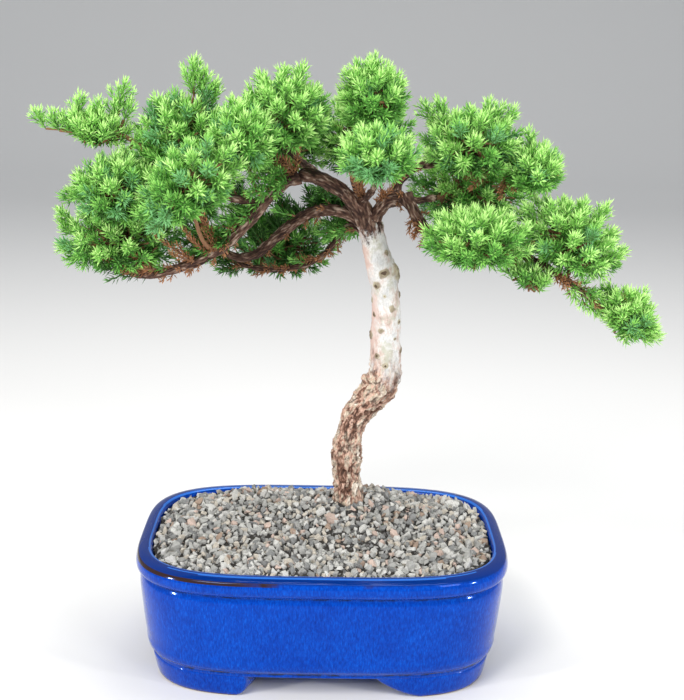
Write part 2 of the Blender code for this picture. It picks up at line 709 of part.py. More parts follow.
def build_masses(paths):
    """Each foliage mass: stem, middle and shoots fused into one solid and cut clear of its limb."""
    stems = {mass: stem_path(mass, paths) for mass in MASSES.values()}
    leaders = []
    for number, (name, mass) in enumerate(MASSES.items()):
        rng = random.Random(SEED + number)
        obstacles = list(paths.values()) + [stem for other, stem in stems.items() if other is not mass]
        found = grow(mass, obstacles, leaders, rng)
        pieces = [core("core", mass, obstacles)]
        for n, (base, tip, width, roll) in enumerate(found):
            pieces.append(shoot(f"shoot_{n}", base, tip, width, roll))
            depth = (base - mass.centre).length / (mass.surface(base - mass.centre) - mass.centre).length
            if core_reach(mass, base - mass.centre, obstacles) < depth + 0.08:
                pieces.append(twig(f"twig_{n}", mass.centre, base.lerp(tip, 0.25), TWIG_RADIUS))
        body = tube(name, stems[mass], 4)
        body.data.materials.clear()
        body.data.materials.append(bpy.data.materials["foliage"])
        boolean(body, "UNION", pieces, solver="MANIFOLD")
        close = [other for other in paths if near(stems[mass], paths[other], 1.0)]
        boolean(body, "DIFFERENCE", [cutter_of(other, paths) for other in close], solver="MANIFOLD")
        keep_largest(body)


def place_plant():
    """Moves the plant so that the origin stands on the ground under the middle of its outline."""
    for obj in bpy.data.collections["juniper_bonsai"].objects:
        obj.data.transform(Matrix.Translation(Vector(PLANT_SHIFT) * MM))


def main():
    clear_scene()
    make_materials()
    build_pot()
    build_gravel()
    paths = {}
    build_trunk(paths)
    build_boughs(paths)
    build_masses(paths)
    place_plant()
    bpy.data.collections.remove(bpy.data.collections["guides"])


main()
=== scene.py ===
"""Juniper bonsai in a glazed pot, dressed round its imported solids.

Lengths in the tables are millimetres, laid out round the middle of the pot with +X to the right,
+Y to the back and +Z up. PLANT_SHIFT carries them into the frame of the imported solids.
"""

import logging
import math
from collections.abc import Callable
from dataclasses import dataclass, field
from enum import Enum

import bmesh
import bpy
import numpy as np
from mathutils import Matrix, Vector, noise
from mathutils.bvhtree import BVHTree


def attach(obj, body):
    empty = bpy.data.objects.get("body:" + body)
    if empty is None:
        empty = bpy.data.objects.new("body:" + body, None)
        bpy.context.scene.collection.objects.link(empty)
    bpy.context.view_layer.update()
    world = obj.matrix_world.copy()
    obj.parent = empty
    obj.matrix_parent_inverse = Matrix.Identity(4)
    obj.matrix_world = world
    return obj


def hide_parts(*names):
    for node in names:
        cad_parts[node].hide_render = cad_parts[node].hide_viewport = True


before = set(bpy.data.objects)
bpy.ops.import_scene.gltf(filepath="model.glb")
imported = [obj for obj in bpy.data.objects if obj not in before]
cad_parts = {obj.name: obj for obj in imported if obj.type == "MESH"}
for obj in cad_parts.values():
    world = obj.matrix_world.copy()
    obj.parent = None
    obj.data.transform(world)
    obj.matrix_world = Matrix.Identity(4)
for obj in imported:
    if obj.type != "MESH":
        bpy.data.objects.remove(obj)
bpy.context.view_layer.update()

log = logging.getLogger("bonsai")

MM = 0.001
PLANT_SHIFT = np.array([-14.9, -8.9, 0.0])
SEED = 41
GOLDEN = math.pi * (3.0 - math.sqrt(5.0))

CURVE_STEPS = 12

Triple = tuple[float, float, float]
Stops = tuple[tuple[float, Triple], ...]
Line = tuple[tuple[float, float, float, float], ...]
Rod = tuple[np.ndarray, np.ndarray, float, float, int]
Tree = bpy.types.NodeTree
Node = bpy.types.Node
Socket = bpy.types.NodeSocket
Ring = Callable[[float], Vector]


# ---------------------------------------------------------------- shared making


def link(name: str, mesh: bpy.types.Mesh, replaces: tuple[str, ...] = ()) -> bpy.types.Object:
    """Adds a mesh to the scene as a piece that rides on the plant's one body.

    Args:
        name: The piece's name.
        mesh: Its finished mesh, in metres, in place.
        replaces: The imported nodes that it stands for.

    Returns:
        The new object.
    """
    piece = bpy.data.objects.new(name, mesh)
    bpy.context.scene.collection.objects.link(piece)
    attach(piece, "root")
    if replaces:
        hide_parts(*replaces)
    log.info("%s: %d faces", name, len(mesh.polygons))
    return piece


def mesh_from_bmesh(name: str, bm: bmesh.types.BMesh, smooth: bool = True) -> bpy.types.Mesh:
    """Turns a bmesh in millimetres of the pot's frame into a mesh in metres, in place.

    Args:
        name: The mesh's name.
        bm: The shape, which is freed.
        smooth: Whether its faces are shaded smooth.

    Returns:
        The mesh.
    """
    bmesh.ops.translate(bm, vec=Vector(PLANT_SHIFT), verts=bm.verts)
    bmesh.ops.scale(bm, vec=(MM, MM, MM), verts=bm.verts)
    mesh = bpy.data.meshes.new(name)
    bm.to_mesh(mesh)
    bm.free()
    mesh.polygons.foreach_set("use_smooth", [smooth] * len(mesh.polygons))
    return mesh


def mesh_from_arrays(
    name: str, verts: np.ndarray, faces: np.ndarray, tones: np.ndarray | None = None, smooth: bool = False
) -> bpy.types.Mesh:
    """Joins many copies of one small shape into a mesh.

    Args:
        name: The mesh's name.
        verts: All vertices in millimetres of the pot's frame, one row each.
        faces: Vertex numbers, one row for each face.
        tones: Material number of each face.
        smooth: Whether the faces are shaded smooth.

    Returns:
        The mesh, in metres, in place.
    """
    mesh = bpy.data.meshes.new(name)
    corners = faces.shape[1]
    mesh.vertices.add(len(verts))
    mesh.vertices.foreach_set("co", ((verts + PLANT_SHIFT) * MM).astype(np.float32).ravel())
    mesh.loops.add(faces.size)
    mesh.loops.foreach_set("vertex_index", faces.astype(np.int32).ravel())
    mesh.polygons.add(len(faces))
    mesh.polygons.foreach_set("loop_start", np.arange(0, faces.size, corners, dtype=np.int32))
    mesh.polygons.foreach_set("loop_total", np.full(len(faces), corners, dtype=np.int32))
    mesh.polygons.foreach_set("use_smooth", np.full(len(faces), smooth))
    if tones is not None:
        mesh.polygons.foreach_set("material_index", tones.astype(np.int32))
    mesh.update(calc_edges=True)
    return mesh


def shape_arrays(bm: bmesh.types.BMesh) -> tuple[np.ndarray, np.ndarray]:
    """Reads a small triangulated shape out of a bmesh, which is freed.

    Args:
        bm: The shape.

    Returns:
        Its vertices and its triangles.
    """
    bmesh.ops.triangulate(bm, faces=bm.faces)
    bmesh.ops.recalc_face_normals(bm, faces=bm.faces)
    bm.verts.index_update()
    verts = np.array([v.co[:] for v in bm.verts])
    faces = np.array([[v.index for v in f.verts] for f in bm.faces])
    bm.free()
    return verts, faces


def spans(points: np.ndarray) -> zip:
    """Each stretch of a line with the four points that curve it; the line's ends are carried on straight."""
    longer = np.vstack([2 * points[0] - points[1], points, 2 * points[-1] - points[-2]])
    return zip(longer, longer[1:], longer[2:], longer[3:])


def spline(a: np.ndarray, b: np.ndarray, c: np.ndarray, d: np.ndarray, t: float) -> np.ndarray:
    """Point of a smooth curve through four points.

    Args:
        a: The point before the stretch.
        b: The point where it starts.
        c: The point where it ends.
        d: The point after it.
        t: Share of the way along the stretch.

    Returns:
        The point.
    """
    return 0.5 * (2 * b + (c - a) * t + (2 * a - 5 * b + 4 * c - d) * t**2 + (3 * b - a - 3 * c + d) * t**3)


def catmull(line: Line, count: int) -> np.ndarray:
    """Even steps along a smooth curve through the points of a line.

    Args:
        line: Points of x, y, z and radius.
        count: How many steps to return.

    Returns:
        Rows of x, y, z and radius.
    """
    points = np.array(line, float)
    fine = [spline(*span, t) for span in spans(points) for t in np.arange(CURVE_STEPS) / CURVE_STEPS]
    rows = np.array([*fine, points[-1]])
    steps = np.concatenate([[0.0], np.cumsum(np.linalg.norm(np.diff(rows[:, :3], axis=0), axis=1))])
    wanted = np.linspace(0, steps[-1], count)
    return np.stack([np.interp(wanted, steps, rows[:, k]) for k in range(4)], axis=1)


def unit(rows: np.ndarray) -> np.ndarray:
    """Rows scaled to length one."""
    return rows / np.maximum(np.linalg.norm(rows, axis=-1, keepdims=True), 1e-9)


def side_frames(axes: np.ndarray) -> tuple[np.ndarray, np.ndarray]:
    """Two directions square to each axis and to each other.

    Args:
        axes: Rows of unit length.

    Returns:
        The two sets of rows.
    """
    steep = np.abs(axes[:, 2:3]) >= 0.9
    helper = np.where(steep, np.array([[1.0, 0.0, 0.0]]), np.array([[0.0, 0.0, 1.0]]))
    side = unit(np.cross(helper, axes))
    return side, np.cross(axes, side)


# ---------------------------------------------------------------- finishes


@dataclass(frozen=True)
class Finish:
    """A plain finish: one colour with a sheen."""

    name: str
    colour: Triple
    roughness: float = 0.6
    specular: float = 0.5

    def material(self) -> bpy.types.Material:
        """Makes the material, or finds it if it is there already.

        Returns:
            The material.
        """
        found = bpy.data.materials.get(self.name)
        if found:
            return found
        material = bpy.data.materials.new(self.name)
        material.use_nodes = True
        material.diffuse_color = (*self.colour, 1.0)
        tree = material.node_tree
        shader = tree.nodes["Principled BSDF"]
        shader.inputs["Base Color"].default_value = (*self.colour, 1.0)
        shader.inputs["Roughness"].default_value = self.roughness
        shader.inputs["Specular IOR Level"].default_value = self.specular
        self.paint(tree, shader)
        return material

    def paint(self, tree: Tree, shader: Node) -> None:
        """Adds the finish's own pattern, of which a plain finish has none.

        Args:
            tree: The material's nodes.
            shader: The shader that takes the pattern.
        """

    @staticmethod
    def place(tree: Tree, scale: Triple = (1, 1, 1)) -> Socket:
        """Object coordinates, stretched.

        Args:
            tree: The material's nodes.
            scale: How much finer the pattern gets along each axis.

        Returns:
            The vector socket.
        """
        where = tree.nodes.new("ShaderNodeTexCoord")
        stretch = tree.nodes.new("ShaderNodeMapping")
        stretch.inputs["Scale"].default_value = scale
        tree.links.new(where.outputs["Object"], stretch.inputs["Vector"])
        return stretch.outputs["Vector"]

    @staticmethod
    def noise(tree: Tree, vector: Socket, scale: float, detail: float = 4, rough: float = 0.6) -> Socket:
        """A noise pattern.

        Args:
            tree: The material's nodes.
            vector: Where it is read.
            scale: Its fineness.
            detail: Its octaves.
            rough: Their weight.

        Returns:
            The socket of its height.
        """
        node = tree.nodes.new("ShaderNodeTexNoise")
        node.inputs["Scale"].default_value = scale
        node.inputs["Detail"].default_value = detail
        node.inputs["Roughness"].default_value = rough
        tree.links.new(vector, node.inputs["Vector"])
        return node.outputs["Fac"]

    @staticmethod
    def ramp(tree: Tree, value: Socket, stops: Stops) -> Socket:
        """A colour ramp.

        Args:
            tree: The material's nodes.
            value: What drives it.
            stops: Place and colour of each stop.

        Returns:
            The colour socket.
        """
        node = tree.nodes.new("ShaderNodeValToRGB")
        elements = node.color_ramp.elements
        while len(elements) < len(stops):
            elements.new(0.5)
        for element, (at, colour) in zip(elements, stops):
            element.position = at
            element.color = (*colour, 1.0)
        tree.links.new(value, node.inputs["Fac"])
        return node.outputs["Color"]

    @staticmethod
    def mix(
        tree: Tree, share: Socket | float, first: Socket | Triple, second: Socket | Triple, how: str = "MIX"
    ) -> Socket:
        """Mixes two colours.

        Args:
            tree: The material's nodes.
            share: Share of the second colour.
            first: The first colour or its socket.
            second: The second colour or its socket.
            how: The way they are mixed.

        Returns:
            The colour socket.
        """
        node = tree.nodes.new("ShaderNodeMix")
        node.data_type = "RGBA"
        node.blend_type = how
        for socket, value in ((node.inputs[0], share), (node.inputs[6], first), (node.inputs[7], second)):
            if isinstance(value, Socket):
                tree.links.new(value, socket)
            elif isinstance(value, tuple):
                socket.default_value = (*value, 1.0)
            else:
                socket.default_value = value
        return node.outputs[2]

    @staticmethod
    def level(tree: Tree, value: Socket, low: float, high: float) -> Socket:
        """Spreads a value from low to high over nought to one, clamped and smooth.

        Args:
            tree: The material's nodes.
            value: What is spread.
            low: The value that gives nought.
            high: The value that gives one.

        Returns:
            The value socket.
        """
        node = tree.nodes.new("ShaderNodeMapRange")
        node.interpolation_type = "SMOOTHSTEP"
        node.inputs["From Min"].default_value = low
        node.inputs["From Max"].default_value = high
        tree.links.new(value, node.inputs["Value"])
        return node.outputs["Result"]

    @staticmethod
    def times(tree: Tree, first: Socket, second: Socket) -> Socket:
        """Multiplies two values.

        Args:
            tree: The material's nodes.
            first: One value.
            second: The other.

        Returns:
            The value socket.
        """
        node = tree.nodes.new("ShaderNodeMath")
        node.operation = "MULTIPLY"
        tree.links.new(first, node.inputs[0])
        tree.links.new(second, node.inputs[1])
        return node.outputs[0]

    @staticmethod
    def swayed(tree: Tree, value: Socket, factor: float, base: Socket, clamp: bool = False) -> Socket:
        """Adds a share of one value to another.

        Args:
            tree: The material's nodes.
            value: The value that is added.
            factor: How much of it.
            base: What it is added to.
            clamp: Whether the sum is kept between nought and one.

        Returns:
            The value socket.
        """
        node = tree.nodes.new("ShaderNodeMath")
        node.operation = "MULTIPLY_ADD"
        node.use_clamp = clamp
        node.inputs[1].default_value = factor
        tree.links.new(value, node.inputs[0])
        tree.links.new(base, node.inputs[2])
        return node.outputs[0]

    @staticmethod
    def parts(tree: Tree, kind: str, output: str) -> tuple[Socket, Socket, Socket]:
        """The three parts of a vector that a node gives.

        Args:
            tree: The material's nodes.
            kind: The node's type.
            output: The name of its vector.

        Returns:
            The x, y and z sockets.
        """
        source = tree.nodes.new(kind)
        split = tree.nodes.new("ShaderNodeSeparateXYZ")
        tree.links.new(source.outputs[output], split.inputs["Vector"])
        return split.outputs["X"], split.outputs["Y"], split.outputs["Z"]

    def spot(self, tree: Tree) -> tuple[Socket, Socket, Socket]:
        """The three Object coordinates, in metres."""
        return self.parts(tree, "ShaderNodeTexCoord", "Object")

    def facing(self, tree: Tree) -> tuple[Socket, Socket, Socket]:
        """The three parts of the direction that the surface faces."""
        return self.parts(tree, "ShaderNodeNewGeometry", "Normal")

    @staticmethod
    def relief(tree: Tree) -> tuple[Socket, Socket, Socket]:
        """Reads the values that a limb's mesh carries.

        Args:
            tree: The material's nodes.

        Returns:
            The sockets of crack, knot and plate.
        """
        carried = tree.nodes.new("ShaderNodeAttribute")
        carried.attribute_name = "relief"
        split = tree.nodes.new("ShaderNodeSeparateColor")
        tree.links.new(carried.outputs["Color"], split.inputs["Color"])
        return split.outputs["Red"], split.outputs["Green"], split.outputs["Blue"]

    @staticmethod
    def bump(tree: Tree, shader: Node, value: Socket, depth: float, strength: float) -> None:
        """Gives the shader a relief.

        Args:
            tree: The material's nodes.
            shader: The shader that takes it.
            value: Its height.
            depth: Its depth in metres.
            strength: Its strength.
        """
        node = tree.nodes.new("ShaderNodeBump")
        node.inputs["Strength"].default_value = strength
        node.inputs["Distance"].default_value = depth
        tree.links.new(value, node.inputs["Height"])
        tree.links.new(node.outputs["Normal"], shader.inputs["Normal"])


@dataclass(frozen=True)
class Glaze(Finish):
    """Cobalt glaze: streaked and mottled, with painted shade in its grooves and on the rim's upward faces."""

    deep: Triple = (0.0005, 0.020, 0.19)
    cobalt: Triple = (0.0006, 0.043, 0.345)
    bright: Triple = (0.0014, 0.100, 0.58)
    groove_shade: Triple = (0.002, 0.010, 0.05)
    shade: Triple = (0.0008, 0.022, 0.17)
    sheen: Triple = (0.03, 0.20, 0.85)
    varnish: float = 0.18
    varnish_roughness: float = 0.06
    clouds: Stops = ((0.3, (0.72, 0.74, 0.84)), (0.62, (1.0, 1.0, 1.0)))
    grooves: tuple[tuple[float, float], ...] = ((0.0604, 0.0013), (0.0150, 0.0012))
    lip_from: tuple[float, float] = (0.06, 0.066)

    def paint(self, tree: Tree, shader: Node) -> None:
        """Streaks, cloudy mottling, painted shade in the grooves and on the rim's top, with a reflection
        tinted by the glaze.

        Args:
            tree: The material's nodes.
            shader: The shader that takes the pattern.
        """
        streaks = self.noise(tree, self.place(tree, (1, 1, 0.24)), 1250, 5, 0.7)
        clouds = self.noise(tree, self.place(tree), 48, 4, 0.6)
        fine = self.ramp(tree, streaks, ((0.24, self.deep), (0.5, self.cobalt), (0.78, self.bright)))
        colour = self.mix(tree, 1.0, fine, self.ramp(tree, clouds, self.clouds), "MULTIPLY")
        _, _, z = self.spot(tree)
        ragged = self.noise(tree, self.place(tree, (1, 1, 3)), 140, 4, 0.7)
        # Painted shade: a ragged dark band in each of the two grooves, where they lie in shade.
        for groove, wide in self.grooves:
            near = self.level(tree, z, groove - wide, groove - wide * 0.3)
            past = self.level(tree, z, groove + wide, groove + wide * 0.3)
            both = self.times(tree, near, past)
            share = self.times(tree, both, self.level(tree, ragged, 0.4, 0.6))
            colour = self.mix(tree, share, colour, self.groove_shade)
        # Painted shade: the rim's upward faces are darkened toward the shade colour, standing in for a dark
        # reflection.
        rim_top_shade_share = self.level(tree, self.facing(tree)[2], 0.35, 0.9)
        rim_top_shade_share = self.times(tree, rim_top_shade_share, self.level(tree, z, *self.lip_from))
        colour = self.mix(tree, rim_top_shade_share, colour, self.shade)
        tree.links.new(colour, shader.inputs["Base Color"])
        shader.inputs["Specular Tint"].default_value = (*self.sheen, 1.0)
        shader.inputs["Coat Weight"].default_value = self.varnish
        shader.inputs["Coat Roughness"].default_value = self.varnish_roughness
        self.bump(tree, shader, self.noise(tree, self.place(tree), 240, 3, 0.5), 0.0004, 0.10)


@dataclass(frozen=True)
class GlazeBreak(Glaze):
    """The rim's sharp edge, where the glaze thins and the brown clay shows through."""

    clay: Triple = (0.030, 0.014, 0.008)
    patchiness: float = 0.55

    def paint(self, tree: Tree, shader: Node) -> None:
        """Brown on the left of the front, in patches elsewhere.

        Args:
            tree: The material's nodes.
            shader: The shader that takes the pattern.
        """
        super().paint(tree, shader)
        glazed = shader.inputs["Base Color"].links[0].from_socket
        x, y, _ = self.spot(tree)
        worn = self.times(tree, self.level(tree, x, -0.030, -0.060), self.level(tree, y, 0.0, -0.05))
        patches = self.level(tree, self.noise(tree, self.place(tree), 60, 3, 0.6), 0.52, 0.7)
        share = self.swayed(tree, patches, self.patchiness, worn, clamp=True)
        tree.links.new(self.mix(tree, share, glazed, self.clay), shader.inputs["Base Color"])


@dataclass(frozen=True)
class TrunkBark(Finish):
    """Flaky tan and red-brown bark below, silvery bark with knots above, brown at the fork."""

    pale_from: tuple[float, float] = (0.192, 0.214)
    brown_from: tuple[float, float] = (0.265, 0.273)
    slant: float = 0.8
    raggedness: float = 0.06
    plates: Stops = (
        (0.08, (0.15, 0.072, 0.046)),
        (0.27, (0.43, 0.25, 0.18)),
        (0.44, (0.70, 0.47, 0.37)),
        (0.60, (0.50, 0.43, 0.32)),
        (0.70, (0.66, 0.53, 0.42)),
        (0.88, (0.92, 0.83, 0.71)),
    )
    mottling: Stops = ((0.3, (0.52, 0.46, 0.42)), (0.58, (1.0, 1.0, 1.0)))
    silver: Stops = (
        (0.30, (0.34, 0.26, 0.21)),
        (0.41, (0.60, 0.48, 0.43)),
        (0.50, (0.70, 0.69, 0.67)),
        (0.72, (0.50, 0.51, 0.52)),
    )
    fork: Stops = (
        (0.15, (0.032, 0.015, 0.011)),
        (0.42, (0.085, 0.042, 0.029)),
        (0.66, (0.19, 0.11, 0.078)),
        (0.9, (0.40, 0.30, 0.24)),
    )
    scar: Stops = ((0.38, (0.17, 0.125, 0.075)), (0.6, (0.44, 0.39, 0.28)))
    seam: Triple = (0.05, 0.025, 0.017)
    lichen: Triple = (0.46, 0.45, 0.37)
    left_side_painted_tint: Triple = (0.58, 0.42, 0.37)
    hole: Triple = (0.085, 0.055, 0.036)

    def paint(self, tree: Tree, shader: Node) -> None:
        """Colours the relief that the mesh carries in its attribute.

        Args:
            tree: The material's nodes.
            shader: The shader that takes the pattern.
        """
        crack, knot, plate = self.relief(tree)
        specks = self.noise(tree, self.place(tree, (1, 1, 0.5)), 1100, 4, 0.7)
        mottled = self.ramp(tree, specks, self.mottling)
        flaky = self.mix(tree, 0.7, self.ramp(tree, plate, self.plates), mottled, "MULTIPLY")
        flaky = self.mix(tree, crack, flaky, self.seam)
        blush = self.noise(tree, self.place(tree, (1, 1, 0.6)), 120, 5, 0.65)
        pale = self.mix(tree, 0.55, self.ramp(tree, blush, self.silver), mottled, "MULTIPLY")
        lichen = self.level(tree, self.noise(tree, self.place(tree), 75, 5, 0.7), 0.53, 0.66)
        pale = self.mix(tree, lichen, pale, self.lichen)
        # Painted side light: faces turned to the left take a rosy tint, in patches.
        left_side_tint_share = self.level(tree, self.facing(tree)[0], -0.35, -0.9)
        pale = self.mix(tree, self.times(tree, left_side_tint_share, self.level(tree, blush, 0.7, 0.4)), pale, self.left_side_painted_tint)
        x, _, z = self.spot(tree)
        rough = self.noise(tree, self.place(tree, (1, 1, 0.5)), 150, 5, 0.7)
        border = self.swayed(tree, rough, self.raggedness, z)
        upper = self.level(tree, self.swayed(tree, x, self.slant, border), *self.pale_from)
        colour = self.mix(tree, upper, flaky, pale)
        brown = self.mix(tree, 0.7, self.ramp(tree, plate, self.fork), mottled, "MULTIPLY")
        colour = self.mix(tree, self.level(tree, border, *self.brown_from), colour, brown)
        colour = self.mix(tree, self.level(tree, knot, 0.06, 0.34), colour, self.ramp(tree, blush, self.scar))
        colour = self.mix(tree, self.level(tree, knot, 0.55, 0.85), colour, self.hole)
        tree.links.new(colour, shader.inputs["Base Color"])
        self.bump(tree, shader, specks, 0.0005, 0.5)


@dataclass(frozen=True)
class BoughBark(Finish):
    """Stringy red-brown bark with grey strips and dark seams."""

    strips: Stops = (
        (0.15, (0.030, 0.014, 0.010)),
        (0.4, (0.078, 0.038, 0.026)),
        (0.62, (0.165, 0.092, 0.064)),
        (0.85, (0.40, 0.30, 0.235)),
    )
    mottling: Stops = ((0.3, (0.5, 0.45, 0.42)), (0.62, (1.0, 1.0, 1.0)))
    seam: Triple = (0.022, 0.011, 0.008)

    def paint(self, tree: Tree, shader: Node) -> None:
        """Colours the strips that the mesh carries in its attribute.

        Args:
            tree: The material's nodes.
            shader: The shader that takes the pattern.
        """
        crack, _, strip = self.relief(tree)
        specks = self.noise(tree, self.place(tree), 1100, 4, 0.7)
        mottled = self.ramp(tree, specks, self.mottling)
        strips = self.mix(tree, 0.7, self.ramp(tree, strip, self.strips), mottled, "MULTIPLY")
        tree.links.new(self.mix(tree, crack, strips, self.seam), shader.inputs["Base Color"])
        self.bump(tree, shader, specks, 0.0004, 0.4)


@dataclass(frozen=True)
class Grit(Finish):
    """Crushed rock of one tone, finely speckled."""

    grains: Stops = ((0.3, (0.55, 0.54, 0.53)), (0.52, (1.0, 1.0, 1.0)))

    def paint(self, tree: Tree, shader: Node) -> None:
        """Fine dark and light grains.

        Args:
            tree: The material's nodes.
            shader: The shader that takes the pattern.
        """
        grains = self.noise(tree, self.place(tree), 1500, 3, 0.7)
        colour = self.mix(tree, 0.8, self.colour, self.ramp(tree, grains, self.grains), "MULTIPLY")
        tree.links.new(colour, shader.inputs["Base Color"])
        self.bump(tree, shader, grains, 0.0003, 0.3)


class Tone(Enum):
    """Colours of needles, each dealt out to whole sprays; the greens are partly lit and shaded copies,
    carrying painted shade and painted highlight.
    """

    DEEP = ("needle_deep", (0.030, 0.105, 0.013))
    MID = ("needle_mid", (0.120, 0.350, 0.058))
    FRESH_LIT = ("needle_fresh", (0.26, 0.56, 0.115))
    LIME_HIGHLIGHT = ("needle_lime", (0.50, 0.78, 0.25))
    BLUE = ("needle_blue", (0.17, 0.42, 0.155))
    DEAD = ("needle_dead", (0.36, 0.165, 0.075))

    @property
    def finish(self) -> Finish:
        """The plain finish of this tone."""
        return Finish(self.value[0], self.value[1], 0.5, 0.22)

    @property
    def number(self) -> int:
        """Its place among the needles' materials."""
        return list(Tone).index(self)


class Stone(Enum):
    """Tones of the crushed rock and how common each is."""

    SHADED = ((0.13, 0.125, 0.12), 0)
    GREY = ((0.36, 0.355, 0.335), 36)
    PALE = ((0.53, 0.52, 0.49), 26)
    BEIGE = ((0.48, 0.435, 0.37), 16)
    SLATE = ((0.22, 0.22, 0.215), 15)
    PINK = ((0.52, 0.40, 0.34), 5)
    RUST = ((0.32, 0.235, 0.18), 3)

    @property
    def finish(self) -> Grit:
        """The finish of this tone."""
        return Grit("stone_" + self.name.lower(), self.value[0], 0.85, 0.25)


class PotFinish(Enum):
    """Places of the pot's finishes among its materials."""

    GLAZE = 0
    BREAK = 1
    CLAY = 2
    THIN = 3


GLAZE = Glaze("cobalt_glaze", (0.0008, 0.055, 0.45), 0.14, 0.26)
GLAZE_BREAK = GlazeBreak("glaze_break", (0.0008, 0.055, 0.45), 0.14, 0.26)
# Painted highlight: the lighter blue along the rim's inner edge stands for a highlight line, where the glaze
# also thins.
THIN_GLAZE_HIGHLIGHT = Finish("thin_glaze_highlight", (0.012, 0.13, 0.55), 0.2, 0.5)
BARE_CLAY = Grit("bare_clay", (0.16, 0.085, 0.05), 0.8, 0.3)
# Painted shade: the bed under the stones is dark, standing in for the shade in the gaps between them.
GAP_SHADE_GRIT = Grit("gap_shade_grit", (0.045, 0.041, 0.037), 0.95, 0.2)
TRUNK_BARK = TrunkBark("trunk_bark", (0.55, 0.42, 0.34), 0.78, 0.3)
BOUGH_BARK = BoughBark("bough_bark", (0.20, 0.11, 0.08), 0.8, 0.25)
YOUNG_WOOD = Grit("young_wood", (0.24, 0.12, 0.06), 0.7, 0.3)
GREEN_WOOD = Finish("green_wood", (0.12, 0.26, 0.07), 0.6, 0.3)
FLOOR_PAINT = Finish("pale_floor", (0.74, 0.73, 0.71), 0.7, 0.3)


# ---------------------------------------------------------------- pot and gravel


